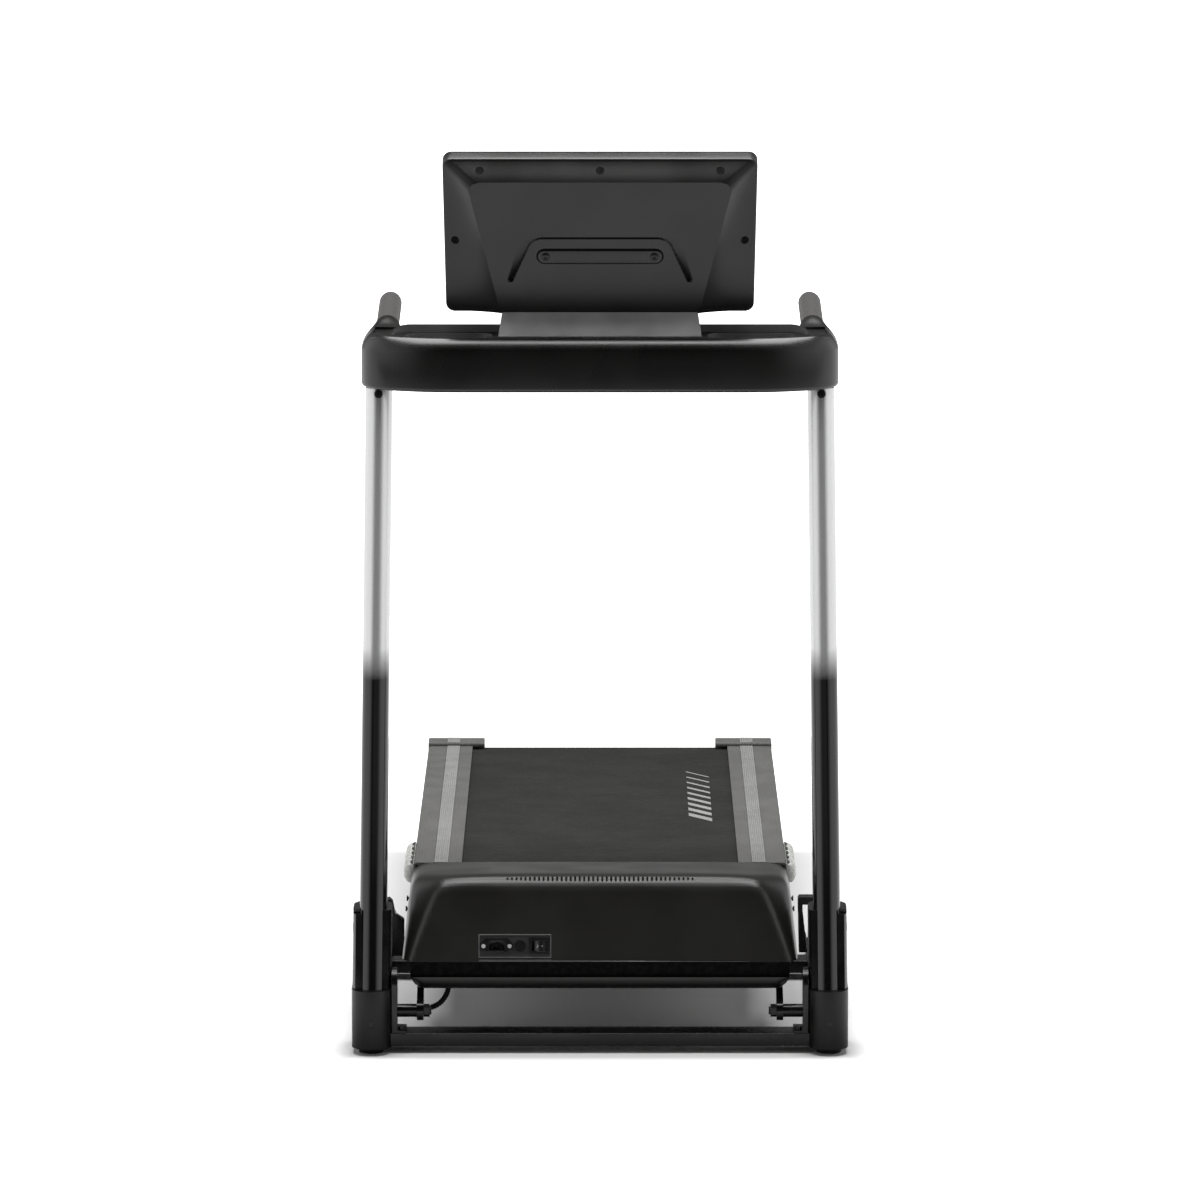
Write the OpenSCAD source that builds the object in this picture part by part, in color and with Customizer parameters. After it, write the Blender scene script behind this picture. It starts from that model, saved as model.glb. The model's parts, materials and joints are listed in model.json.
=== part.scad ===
// Folding motorised treadmill: a running deck that hinges on a low base between two leaning
// uprights, which carry a wrap-round handlebar with a console.
// Millimetres. X runs across, Y from the motor end to the rear, Z up. The origin is on the floor
// under the middle of the whole machine.

/* [Overall] */
// Width over the boot covers
overall_w = 758; // [750:1:770]
// Length from the boot covers to the rear end caps
overall_l = 1600; // [1560:10:1660]

/* [Base] */
// Height of the base frame above the floor, which is the thickness of the levelling feet
foot_h = 11; // [8:0.5:12]
// Length of the base side rails
base_l = 760; // [740:5:800]
// Width of one boot cover
boot_w = 60; // [58:1:62]
// Height of the top of the boot covers
boot_top = 100; // [90:1:110]
// Height of the top of the flanges that clasp the uprights
flange_top = 218; // [200:1:230]
// Middle of the rear cross tube, behind the front plane
rear_tube_y = 588; // [560:1:620]

/* [Uprights] */
// Distance of each upright's axis from the middle plane at its foot
upright_x = 348; // [346:0.5:349]
// Width of the oval upright tube
upright_w = 41; // [38:0.5:42]
// Depth of the oval upright tube
upright_d = 76; // [70:1:80]
// Backward lean of the uprights, in degrees
upright_lean = 12; // [11.5:0.25:12.5]
// Inward lean of the uprights, in degrees
upright_toe = 0.56; // [0.4:0.02:0.7]
// Wall of the steel tubes
tube_wall = 2; // [1.5:0.25:2.5]

/* [Fold pivot] */
// Pivot behind the front plane
pivot_y = 48; // [46:1:50]
// Pivot above the floor
pivot_z = 62; // [60:1:64]
// Radius of the pivot bolts
pivot_r = 6; // [5:0.5:6.5]

/* [Deck] */
// Fall of the deck towards the rear, in degrees
deck_slope = 2.1; // [1.5:0.1:2.5]
// Where the foot rails come out from under the hood
deck_start = 300; // [298:1:305]
// Height of the foot rails at that place
deck_top = 242; // [240:1:244]
// Half the width over the foot rails
deck_half_w = 289.5; // [287:0.5:290]
// Width of the running belt
belt_w = 440; // [436:1:442]
// Radius of both belt rollers
roller_r = 25; // [24:0.5:25]

/* [Motor hood] */
// Height of the hood's lower edge
hood_z = 139; // [138:0.5:141]
// Number of cooling slots
slot_count = 42; // [20:1:44]
// Distance between cooling slots
slot_pitch = 6.9; // [6.5:0.1:7]

/* [Handlebar] */
// Front of the handlebar housing
bar_front = 160; // [157:1:162]
// Lower edge of the handlebar housing
bar_z = 999.5; // [998:0.5:1001]
// Height of the handlebar housing
bar_h = 82; // [80:1:84]
// Half the width over the handlebar housing
bar_half_w = 366; // [365:0.5:368]
// Radius of the gentle bend towards each corner
bar_bow = 246; // [230:1:260]
// Radius of the housing's front corners
bar_corner = 70; // [60:1:75]
// Distance of each grip from the middle plane
grip_x = 328; // [327:0.5:329]
// Radius of the foam grips
grip_r = 17.5; // [17:0.5:18]
// Rear end of the grips
grip_end = 573; // [555:1:585]

/* [Console] */
// Width of the console
console_w = 480; // [470:1:490]
// Height of the console along its face
console_h = 254; // [250:1:258]
// Backward tilt of the console, in degrees
console_tilt = 20; // [18:0.5:20]
// Thickness of the console at its rim
console_rim = 26; // [24:0.5:28]
// Depth of the rear shell's side walls at the console's foot
console_low_rim = 42; // [34:0.5:46]
// How far the console's back swells behind the rim
console_swell = 28; // [24:1:30]

/* [Hidden] */

$fn = 48;
eps = 0.5;          // how far a cutting shape reaches past the face it cuts
slack = 0.3;        // clearance between pieces that don't run on each other
running = 0.05;     // radial clearance of a running fit

// Base
base_half_w = overall_w / 2;
rail_w = 40;
rail_h = 25;
rail_in = base_half_w - boot_w / 2 - rail_w / 2;
rail_mid = rail_in + rail_w / 2;
rail_out = rail_in + rail_w;
rail_front = 20;
cross_w = 50;
cross_h = 20;
cross_mid = 50;
fork_l = 46;
wheel_r = 26;
wheel_w = 30;
wheel_y = base_l - 12;
wheel_z = wheel_r + 1;
wheel_axle_r = 4;
boot_r = boot_w / 2;
boot_l = 115;
boot_wall = 3;
flange_nose = 6;
plate_t = 8;
plate_x = [310, 310 + plate_t];
plate_half = 25;
plate_top = 129;
spacer_r = 10;
lug_x = [270, 280];
lug_r = 15;
nut_r = 10;
nut_h = 9;

// Uprights
upright_y = 47;
upright_ref_z = 60;
upright_top = bar_z - 0.5;
socket_gap = 0.4;

// Deck
deck_end = (overall_l - deck_start - 5 * sin(deck_slope)) / cos(deck_slope);
belt_t = 2;
belt_gap = 0.2;
belt_out = roller_r + belt_gap + belt_t;
belt_drop = 6;
roller_n = -belt_drop - belt_out;
front_roller_s = -22;
rear_roller_s = deck_end - 38.7;
axle_r = 8.5;
side_rail_x = [250, 284];
side_rail_n = [-84, -14];
side_rail_s = [-196, deck_end - 20];
board_n = [-26, -8];
cap_s = deck_end - 64;
cap_in = 195;
cap_n = [-75, 5];
pan_y = [50, 240];
pan_z = [92, 136];
pan_x = 290;
motor_y = 115;
motor_z = 206;
motor_r = 46;
motor_tube_y = [90, 140];
motor_tube_z = [139, 159];
motor_pulley_r = 14;
roller_pulley_r = 28;
pulley_x = [-244, -224];
leg_y = [1520, 1548];
leg_x = [256, 278];
leg_pad = 12;

// Hood
hood_rear = deck_start;
hood_t = 3;
hood_face = atan2(20, 111);

// Panel on the hood's front face: across, and up the face
panel_x = [-185, -75];
panel_v = [7, 42];
inlet_x = -158;
breaker_x = -122;
rocker_x = -93;
switch_v = 24.5;
rocker_tilt = 10;

// Handlebar
bar_wall = 3;
bar_back = 277;
bar_arm_in = 306;
bar_flat = 220;
tail_start = 305;
tail_end = 347;
grip_z = [1074, 1084];
ring_r = 20;
tray_z = bar_z + bar_h - 3.5;
stub_w = upright_w - 2 * (tube_wall + socket_gap);
stub_d = upright_d - 2 * (tube_wall + socket_gap);
well_x = [165, 298];
well_y = [203, 263];
well_r = 24;
well_deep = 38;
arm_r = 14;

// Console, in its own frame: across, out of the display, up the display
console_y = 290;
console_z = 1126.5;
console_top_half = console_w / 2;
console_low_half = console_top_half - 4;
console_r = 14;
swell_top = 228;
swell_top_half = 200;
swell_low_half = 155;
bezel_t = 10;
window_x = 180;
window_v = [98, 232];
button_v = 52;
start_x = 62;
stop_x = -62;
speed_up_x = 118;
speed_down_x = -118;
main_button_r = 14;
speed_button_r = 10;
key_v = 48;
rear_screws = [[-183, 241], [0, 241], [183, 241], [-221, 121], [221, 121]];
plate_screws = [[-83, 103], [83, 103]];

// Cable loom, from the pan to the left boot cover
loom_r = 4.5;
loom_route = [
    [-232, 108, 100], [-232, 108, 91], [-234, 106, 80], [-239, 102, 70], [-247, 98, 62],
    [-258, 95, 57], [-271, 94, 55], [-286, 94, 55], [-302, 94, 56], [-316, 94, 57],
    [-327, 94, 58]
];

// ---- Helpers ----

// A box given by its range along each axis
module box(x, y, z) {
    translate([x[0], y[0], z[0]]) cube([x[1] - x[0], y[1] - y[0], z[1] - z[0]]);
}

// Measures Y from the front of the boot covers
module from_front() {
    translate([0, -overall_l / 2, 0]) children();
}

// Children on the +X side and their mirror image on the -X side
module both_sides() {
    children();
    mirror([1, 0, 0]) children();
}

// A rod along X
module rod_x(x, r, at) {
    translate([x[0], at[0], at[1]]) rotate([0, 90, 0]) cylinder(r = r, h = x[1] - x[0]);
}

// A 2D outline drawn in (Y, Z), pulled along X
module along_x(x) {
    translate([x[0], 0, 0]) rotate([90, 0, 90]) linear_extrude(x[1] - x[0]) children();
}

// A 2D outline drawn in (X, Z), pulled along Y
module along_y(y) {
    translate([0, y[1], 0]) rotate([90, 0, 0]) linear_extrude(y[1] - y[0]) children();
}

// A square tube that is open at both ends along X
module tube_x(x, y, z) {
    difference() {
        box(x, y, z);
        box([x[0] - eps, x[1] + eps], [y[0] + tube_wall, y[1] - tube_wall],
            [z[0] + tube_wall, z[1] - tube_wall]);
    }
}

// An oval outline, round at both ends of its depth
module oval(w, d) {
    square([w, d - w], center = true);
    for (end = [-1, 1]) translate([0, end * (d - w) / 2]) circle(d = w);
}

// The frame of one upright: Z runs up its axis from the reference height
module on_upright(x) {
    translate([x, upright_y, upright_ref_z]) rotate([-upright_lean, 0, 0])
        rotate([0, -sign(x) * upright_toe, 0]) children();
}

// A solid oval bar along an upright's axis, cut level at two heights
module upright_bar(x, w, d, z) {
    intersection() {
        on_upright(x) translate([0, 0, -200]) linear_extrude(1400) oval(w, d);
        box([x - 60, x + 60], [-200, 600], z);
    }
}

// The frame of the deck: Y runs back along it and Z stands on it
module on_deck() {
    translate([0, deck_start, deck_top]) rotate([-deck_slope, 0, 0]) children();
}

// The frame of the console
module on_console() {
    translate([0, console_y, console_z]) rotate([console_tilt, 0, 0]) children();
}

// The frame of the hood's front face: Y runs inwards and Z up the face
module on_hood_face() {
    translate([0, 40, hood_z]) rotate([-hood_face, 0, 0]) children();
}

// A rod along the console's own Y axis
module console_rod(x, v, y, r) {
    translate([x, y[1], v]) rotate([90, 0, 0]) cylinder(r = r, h = y[1] - y[0]);
}

// ---- Base ----

module base_cross_tubes() {
    color("#161617") from_front() {
        for (y = [cross_mid, rear_tube_y])
            tube_x([-rail_in, rail_in], [y - cross_w / 2, y + cross_w / 2], [foot_h, foot_h + cross_h]);
    }
}

module base_rails() {
    color("#161617") from_front() both_sides() difference() {
        box([rail_in, rail_out], [rail_front, base_l], [foot_h, foot_h + rail_h]);
        box([rail_in + tube_wall, rail_out - tube_wall], [rail_front - eps, base_l + eps],
            [foot_h + tube_wall, foot_h + rail_h - tube_wall]);
        // The wheel's fork
        box([rail_in + tube_wall, rail_out - tube_wall], [base_l - fork_l, base_l + eps],
            [foot_h - eps, foot_h + rail_h + eps]);
        rod_x([rail_in - eps, rail_out + eps], wheel_axle_r + running, [wheel_y, wheel_z]);
    }
}

// Upright plates on the front cross tube, each with a welded spacer sleeve
module pivot_plates() {
    color("#141415") from_front() both_sides() difference() {
        union() {
            box(plate_x, [cross_mid - plate_half, cross_mid + plate_half],
                [foot_h + cross_h, plate_top - plate_half]);
            rod_x(plate_x, plate_half, [cross_mid, plate_top - plate_half]);
            rod_x([lug_x[1] + slack, plate_x[0]], spacer_r, [pivot_y, pivot_z]);
            box([plate_x[0] - 14, plate_x[0]], [cross_mid - plate_half, cross_mid + plate_half],
                [foot_h + cross_h, foot_h + cross_h + 4]);
        }
        rod_x([lug_x[1], plate_x[1] + eps], pivot_r + running, [pivot_y, pivot_z]);
    }
}

module pivot_bolts() {
    color("#2b2b2d") from_front() both_sides() {
        rod_x([lug_x[0] - nut_h - 3, plate_x[1]], pivot_r, [pivot_y, pivot_z]);
        translate([lug_x[0] - slack - nut_h, pivot_y, pivot_z]) rotate([0, 90, 0])
            cylinder(r = nut_r, h = nut_h, $fn = 6);
    }
}

// Catches for the folded deck on the base rails: a lobed plate on the left, a hook on the right
module latch_brackets() {
    color("#141415") from_front() {
        along_y(latch_y) mirror([1, 0]) polygon([
            [330, foot_h + rail_h], [338, foot_h + rail_h], [338, 168], [334, 174], [328, 175.5],
            [323.5, 171], [321, 158], [318, 150], [305.5, 141.5], [305.5, 84.5], [322.5, 84.5], [330, 80]
        ]);
        along_y(latch_y) polygon([
            [333, foot_h + rail_h], [339, foot_h + rail_h], [339, 179], [311, 179], [308.7, 176],
            [308.7, 165], [310.5, 90], [324, 90], [316, 158], [316, 166], [333, 166]
        ]);
    }
}

latch_y = [345, 365];

module upright_sockets() {
    color("#1b1b1c") from_front() both_sides() difference() {
        upright_bar(upright_x, stub_w, stub_d, [foot_h + rail_h, 200]);
        upright_bar(upright_x, stub_w - 5, stub_d - 5, [foot_h + rail_h - eps, 200 + eps]);
        flange_bolt_holes();
    }
}

// Holes for the bolts through the flange, the upright and its socket
module flange_bolt_holes() {
    for (z = [140, 187]) rod_x([upright_x, base_half_w + eps], 4.1, [z * 0.2126 + 34, z]);
}

module upright(x) {
    from_front() difference() {
        upright_bar(x, upright_w, upright_d, [foot_h + rail_h + slack, upright_top]);
        upright_bar(x, upright_w - 2 * tube_wall, upright_d - 2 * tube_wall,
            [foot_h + rail_h, upright_top + eps]);
        if (x > 0) flange_bolt_holes(); else mirror([1, 0, 0]) flange_bolt_holes();
        handlebar_bolt(x, 4.2, 12);
    }
}

module left_upright() {
    color("#c9cacc") upright(-upright_x);
}

module right_upright() {
    color("#c9cacc") upright(upright_x);
}

// A bolt, or its hole, through the front of an upright just under the handlebar
module handlebar_bolt(x, r, l) {
    on_upright(x) translate([0, -upright_d / 2 - eps, 944]) rotate([-90, 0, 0]) cylinder(r = r, h = l);
}

// A boot's outline from above: round at the front, square behind
module boot_outline(inset) {
    translate([rail_mid, boot_r]) circle(r = boot_r - inset);
    translate([rail_mid - boot_r + inset, boot_r]) square([boot_w - 2 * inset, boot_l - boot_r]);
}

module boot_covers() {
    color("#1a1a1b") from_front() both_sides() difference() {
        translate([0, 0, foot_h - 1]) linear_extrude(boot_top - foot_h + 1) boot_outline(0);
        translate([0, 0, foot_h - 1 - eps]) linear_extrude(boot_top - foot_h - boot_wall + 1)
            boot_outline(boot_wall);
        box([rail_mid - boot_r + boot_wall, rail_mid + boot_r - boot_wall], [80, boot_l + eps],
            [foot_h - 2, boot_top - boot_wall]);
        upright_bar(upright_x, upright_w + 1, upright_d + 1, [60, 130]);
        // Room for the front cross tube and for the loom
        box([rail_mid - boot_r - eps, rail_in + 1], [cross_mid - cross_w / 2 - slack,
            cross_mid + cross_w / 2 + slack], [foot_h - 2, foot_h + cross_h + slack]);
        rod_x([rail_mid - boot_r - eps, rail_in + 1], loom_r + 1, [94, 57.7]);
        // Screw well in the nose
        translate([upright_x + 2, -eps, 49]) rotate([-90, 0, 0]) cylinder(r = 4.5, h = 3);
        translate([upright_x + 2, -eps, 49]) rotate([-90, 0, 0]) cylinder(r = 2.2, h = 12);
    }
}

// Steel flanges that clasp the foot of each upright and leave its nose open
module boot_flanges() {
    color("#19191a") from_front() both_sides() difference() {
        upright_bar(rail_mid, boot_w - 1, upright_d + 16, [boot_top + slack, flange_top]);
        upright_bar(upright_x, upright_w + 0.6, upright_d + 0.6, [boot_top - 1, flange_top + 1]);
        on_upright(upright_x) translate([-60, -upright_d / 2 - 60 + flange_nose, 0])
            cube([120, 60, 300]);
        flange_bolt_holes();
        for (z = [140, 187]) rod_x([base_half_w - 6, base_half_w + eps], 7.4, [z * 0.2126 + 34, z]);
        box([base_half_w - 15, base_half_w], [0, 60], [flange_top - 6, flange_top + 1]);
    }
}

module levelling_feet() {
    color("#0d0d0d") from_front() both_sides() {
        translate([upright_x + 2, 38, 0]) foot(18.75);
        translate([rail_mid, base_l - fork_l - 30, 0]) foot(16);
    }
}

module foot(r) {
    cylinder(r = r, h = foot_h - 3);
    translate([0, 0, foot_h - 3]) cylinder(r = 11, h = 3);
}

// Base bolts: flange bolts, boot screws, handlebar bolts, plate nuts, wheel axles and the catch's bolt
module frame_bolts() {
    color("#29292b") from_front() {
        both_sides() {
            for (z = [140, 187]) {
                rod_x([upright_x + 12, base_half_w - 5.5], 4, [z * 0.2126 + 34, z]);
                rod_x([base_half_w - 5.5, base_half_w - 1], 7, [z * 0.2126 + 34, z]);
            }
            translate([upright_x + 2, 1.2, 49]) rotate([-90, 0, 0]) cylinder(r = 4.2, h = 1.2);
            translate([upright_x + 2, 2.4, 49]) rotate([-90, 0, 0]) cylinder(r = 2, h = 2.8);
            handlebar_bolt(upright_x, 4, 12);
            on_upright(upright_x) translate([0, -upright_d / 2 - 5.5, 944]) rotate([-90, 0, 0])
                cylinder(r = 6.5, h = 5);
            translate([plate_x[0] - 7.5, cross_mid - 14, foot_h + cross_h + 4]) cylinder(r = 6, h = 5, $fn = 6);
            rod_x([rail_in - 1.5, rail_out + 1.5], wheel_axle_r, [wheel_y, wheel_z]);
            rod_x([rail_out + slack, rail_out + 5], 7, [wheel_y, wheel_z]);
            rod_x([rail_in - 5, rail_in - slack], 7, [wheel_y, wheel_z]);
        }
        translate([-327.3, latch_y[0] - 4, 163.8]) rotate([-90, 0, 0]) cylinder(r = 4.5, h = 3.9);
    }
}

// ---- Transport wheels ----

module wheel(x) {
    from_front() difference() {
        union() {
            rod_x([x - wheel_w / 2, x + wheel_w / 2], wheel_r - 2, [wheel_y, wheel_z]);
            rod_x([x - wheel_w / 2 + 2, x + wheel_w / 2 - 2], wheel_r, [wheel_y, wheel_z]);
        }
        rod_x([x - wheel_w, x + wheel_w], wheel_axle_r + running, [wheel_y, wheel_z]);
    }
}

module left_wheel() {
    color("#1c1c1c") wheel(-rail_mid);
}

module right_wheel() {
    color("#1c1c1c") wheel(rail_mid);
}

// ---- Handlebar ----

// The handlebar's outline from above: a gentle bow at each end, then a tighter corner
module bar_outline(inset) {
    bow = bar_bow - bar_corner;
    out = bar_half_w - bar_corner - bar_flat;
    corner_y = bar_front + bar_bow - sqrt(bow * bow - out * out);
    intersection() {
        hull() for (side = [-1, 1]) {
            translate([side * (bar_flat + out), corner_y]) circle(r = bar_corner - inset, $fn = 96);
            translate([side * bar_flat, bar_front + bar_bow]) intersection() {
                circle(r = bar_bow - inset, $fn = 180);
                translate([-150, -bar_bow]) square([300, 60]);
            }
            translate([side * (bar_half_w - inset) - 1, corner_y]) square([2, 100]);
        }
        translate([-bar_half_w + inset, 0]) square([2 * (bar_half_w - inset), tail_start]);
    }
}

// The handlebar's body, with a chamfered top and bottom edge
module bar_body(inset) {
    hull() {
        translate([0, 0, bar_z + inset]) linear_extrude(0.5) bar_outline(inset + 3);
        translate([0, 0, bar_z + 5]) linear_extrude(bar_h - 19) bar_outline(inset);
        translate([0, 0, bar_z + bar_h - 0.5]) linear_extrude(0.5) bar_outline(inset + 12);
    }
}

// The tail that narrows from the handlebar's arm to the grip
module bar_tail(inset) {
    hull() {
        box([bar_arm_in + inset, bar_half_w - inset], [tail_start - 1, tail_start],
            [bar_z + 4 + inset, bar_z + bar_h - 2 - inset]);
        translate([grip_x, tail_end - 6, grip_z[0]]) rotate([-90, 0, 0])
            cylinder(r = ring_r - inset, h = 6 + inset / 3);
    }
}

module handlebar_housing() {
    color("#1d1d1e") from_front() {
        difference() {
            bar_body(0);
            // Keep the front bar and the two arms, and hollow each of them
            box([-bar_arm_in, bar_arm_in], [bar_back, 400], [bar_z - 1, bar_z + bar_h + 1]);
            intersection() {
                bar_body(bar_wall);
                union() {
                    box([-400, 400], [0, bar_back - bar_wall], [0, 1200]);
                    box([bar_arm_in + bar_wall, 400], [0, 400], [0, 1200]);
                    box([-400, -bar_arm_in - bar_wall], [0, 400], [0, 1200]);
                }
            }
            translate([0, 0, tray_z - 3.5]) linear_extrude(30) difference() {
                bar_outline(15.5);
                translate([-bar_arm_in - bar_wall, bar_back - bar_wall])
                    square([2 * (bar_arm_in + bar_wall), 200]);
            }
            both_sides() upright_bar(upright_x, stub_w + 1, stub_d + 1, [bar_z - 5, bar_z + 8]);
        }
        both_sides() difference() {
            bar_tail(0);
            bar_tail(bar_wall);
        }
    }
}

// Top cover with a well on each side of the console's neck
module console_tray() {
    color("#232325") from_front() {
        difference() {
            translate([0, 0, tray_z - 3]) linear_extrude(3) difference() {
                bar_outline(16);
                translate([-bar_arm_in - bar_wall - slack, bar_back - bar_wall - slack])
                    square([2 * (bar_arm_in + bar_wall + slack), 200]);
            }
            both_sides() translate([0, 0, tray_z - 4]) linear_extrude(6) well_outline(0);
            box([-400, 400], [tail_start - 1.5, tail_start + 1], [tray_z - 4, tray_z + 1]);
        }
        both_sides() difference() {
            translate([0, 0, tray_z - well_deep]) linear_extrude(well_deep - 3) well_outline(-2.5);
            translate([0, 0, tray_z - well_deep + 2.5]) linear_extrude(well_deep) well_outline(0);
        }
        // Raised rear wall on each side of the neck, which turns forward and down at its end
        both_sides() {
            box([156.5, 290], [tray_wall_y - 3.7, tray_wall_y], [tray_z - 3, tray_z + 12]);
            difference() {
                translate([290, tray_wall_y - 38, tray_z - 3]) linear_extrude(15) intersection() {
                    difference() {
                        scale([32, 38]) circle(r = 1, $fn = 64);
                        scale([28.3, 34.3]) circle(r = 1, $fn = 64);
                    }
                    square(50);
                }
                along_x([290.5, 330]) polygon([
                    [tray_wall_y - 39, tray_z + 1], [tray_wall_y, tray_z + 12.1],
                    [tray_wall_y, tray_z + 30], [tray_wall_y - 39, tray_z + 30]
                ]);
            }
        }
    }
}

tray_wall_y = bar_back - bar_wall - slack;

module well_outline(inset) {
    r = well_r - inset;
    x = [well_x[0] + inset, well_x[1] - inset];
    y = [well_y[0] + inset, well_y[1] - inset];
    for (cx = [x[0] + r, x[1] - r]) for (cy = [y[0] + r, y[1] - r]) translate([cx, cy]) circle(r = r);
    translate([x[0] + r, y[0]]) square([x[1] - x[0] - 2 * r, y[1] - y[0]]);
    translate([x[0], y[0] + r]) square([x[1] - x[0], y[1] - y[0] - 2 * r]);
}

// A round bar from one (Y, Z) point to another at the given X
module bar_between(x, a, b, r) {
    d = b - a;
    translate([x, a[0], a[1]]) rotate([-atan2(d[0], d[1]), 0, 0]) cylinder(r = r, h = norm(d));
}

// A point on the grip's line at the given Y
function grip_at(y) = [y, grip_z[0] + (y - 335) * 0.043];

arm_path = [[240, 1022], [265, 1036], grip_at(340), grip_at(grip_end - 9)];

// Steel inside the handlebar: a cross tube, a plug into each upright, and the grip arms
module handlebar_frame() {
    color("#202022") from_front() {
        difference() {
            tube_x([-330, 330], [220, 262], [bar_z + 6.5, bar_z + 36.5]);
            translate([0, 241, bar_z]) cylinder(r = 4, h = 12);
        }
        both_sides() {
            difference() {
                upright_bar(upright_x, stub_w, stub_d, [905, bar_z + 36.5]);
                handlebar_bolt(upright_x, 4.2, 16);
            }
            for (i = [0:len(arm_path) - 2]) bar_between(grip_x, arm_path[i], arm_path[i + 1], arm_r);
            for (i = [1:len(arm_path) - 2])
                translate([grip_x, arm_path[i][0], arm_path[i][1]]) sphere(r = arm_r);
        }
    }
}

module grip(x) {
    from_front() difference() {
        bar_between(x, grip_at(tail_end + 1.5), grip_at(grip_end - 8.5), grip_r);
        bar_between(x, grip_at(tail_end - 5), grip_at(grip_end), arm_r + slack);
    }
}

module foam_grips() {
    color("#3a3a3b") {
        grip(-grip_x);
        grip(grip_x);
    }
}

module grip_end_caps() {
    color("#181818") from_front() both_sides() {
        bar_between(grip_x, grip_at(grip_end - 7.8), grip_at(grip_end - 0.8), grip_r);
    }
}

// ---- Console ----

// A trapezoid in (X, Z) with round corners, symmetrical about X = 0
module round_trapezoid(half, z, r) {
    polygon([
        for (k = [0:3]) let (
            side = k == 0 || k == 1 ? 1 : -1,
            low = k == 0 || k == 3,
            c = [side * (half[low ? 0 : 1] - r), low ? z[0] + r : z[1] - r]
        ) for (i = [0:8]) c + r * [cos(90 * (k - 1) + 11.25 * i), sin(90 * (k - 1) + 11.25 * i)]
    ]);
}

// The console's face outline
module console_outline(inset) {
    round_trapezoid([console_low_half - inset, console_top_half - inset], [inset, console_h - inset],
        console_r - inset);
}

// The swollen middle of the console's back
module swell_outline(inset) {
    round_trapezoid([swell_low_half - inset, swell_top_half - inset], [2 + inset, swell_top - inset],
        16 - inset);
}

module console_back(inset) {
    hull() {
        along_y([-console_rim + inset, -bezel_t + inset / 3]) console_outline(inset);
        along_y([-console_low_rim + inset, -bezel_t]) intersection() {
            console_outline(inset);
            translate([-300, 0]) square([600, 14]);
        }
        along_y([-console_rim - console_swell + inset, -console_rim + inset]) swell_outline(inset);
    }
}

module console_rear_shell() {
    color("#2e2e2f") from_front() on_console() {
        difference() {
            console_back(0);
            console_back(bar_wall);
            for (p = rear_screws) {
                console_rod(p[0], p[1], [-80, -console_rim - 2], 4.2);
            }
            for (p = plate_screws) console_rod(p[0], p[1], [-80, -console_rim], 1.8);
        }
        // Screw posts, each with a deep well for the screw's head
        difference() {
            intersection() {
                console_back(1);
                union() for (p = rear_screws) console_rod(p[0], p[1], [-60, -bezel_t - 0.4], 5.5);
            }
            for (p = rear_screws) {
                console_rod(p[0], p[1], [-80, -console_rim - 3], 4.2);
                console_rod(p[0], p[1], [-80, 0], 1.8);
            }
        }
        // Raised plate with the two middle screws
        difference() {
            box([-96, 96], [-console_rim - console_swell - 1.5, -console_rim - console_swell + 1], [90, 112]);
            for (p = plate_screws) console_rod(p[0], p[1], [-80, -console_rim], 1.8);
        }
    }
}

module console_bezel() {
    color("#1b1b1c") from_front() on_console() difference() {
        along_y([-bezel_t + slack, 0]) console_outline(0);
        along_y([-bezel_t - eps, -3]) console_outline(3);
        box([-window_x, window_x], [-20, 5], window_v);
        for (b = [[start_x, main_button_r], [stop_x, main_button_r],
                  [speed_up_x, speed_button_r], [speed_down_x, speed_button_r]])
            console_rod(b[0], button_v, [-20, 5], b[1] + slack);
        console_rod(0, key_v, [-20, 5], 6.3);
    }
}

module display_window() {
    color("#101214") from_front() on_console()
        box([-window_x + slack, window_x - slack], [-3.2, -0.3], [window_v[0] + slack, window_v[1] - slack]);
}

// Circuit board with the display module and the speaker
module display_board() {
    color("#1f4d2b") from_front() on_console() {
        box([-200, 200], [-22, -20.4], [20, 234]);
        box([-172, 172], [-20.4, -5], [window_v[0] + 6, window_v[1] - 6]);
        for (x = [-150, 150]) console_rod(x, 72, [-20.4, -12], 16);
    }
}

module console_screws() {
    color("#0c0c0d") from_front() on_console() {
        for (p = rear_screws) {
            console_rod(p[0], p[1], [-console_rim - 5.5, -console_rim - 3], 3.4);
            console_rod(p[0], p[1], [-console_rim - 3, -bezel_t - 1], 1.7);
        }
        for (p = plate_screws) {
            console_rod(p[0], p[1], [-console_rim - console_swell - 3.5, -console_rim - console_swell - 1.5], 5.5);
            console_rod(p[0], p[1], [-console_rim - console_swell - 1.5, -console_rim - 12], 1.7);
        }
    }
}

module console_neck() {
    color("#3a3a3c") from_front() difference() {
        neck_body(0);
        neck_body(3);
        on_console() box([-400, 400], [-console_rim - console_swell - 0.4, 60], [-slack, 300]);
    }
}

module neck_body(inset) {
    hull() {
        box([-155 + inset, 155 - inset], [211 + inset, 271 - inset], [tray_z + slack - inset / 3, tray_z + 2]);
        box([-148 + inset, 148 - inset], [245 + inset, 285 - inset], [tray_z + 32, tray_z + 46 + inset]);
    }
}

// A push button on the console's face, with a hidden collar that keeps it in
module push_button(x, r) {
    from_front() on_console() {
        console_rod(x, button_v, [-5, 2], r);
        console_rod(x, button_v, [-7, -5], r + 2);
    }
}

module start_button() {
    color("#2f9e4b") push_button(start_x, main_button_r);
}

module stop_button() {
    color("#c8352c") push_button(stop_x, main_button_r);
}

module speed_up_button() {
    color("#8f9194") push_button(speed_up_x, speed_button_r);
}

module speed_down_button() {
    color("#8f9194") push_button(speed_down_x, speed_button_r);
}

// Magnetic safety key: a cap with a stem in the console's socket
module safety_key() {
    color("#c8352c") from_front() on_console() {
        console_rod(0, key_v, [slack, 8], 15);
        console_rod(0, key_v, [-9, slack], 6);
    }
}

// ---- Deck frame ----

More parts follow.
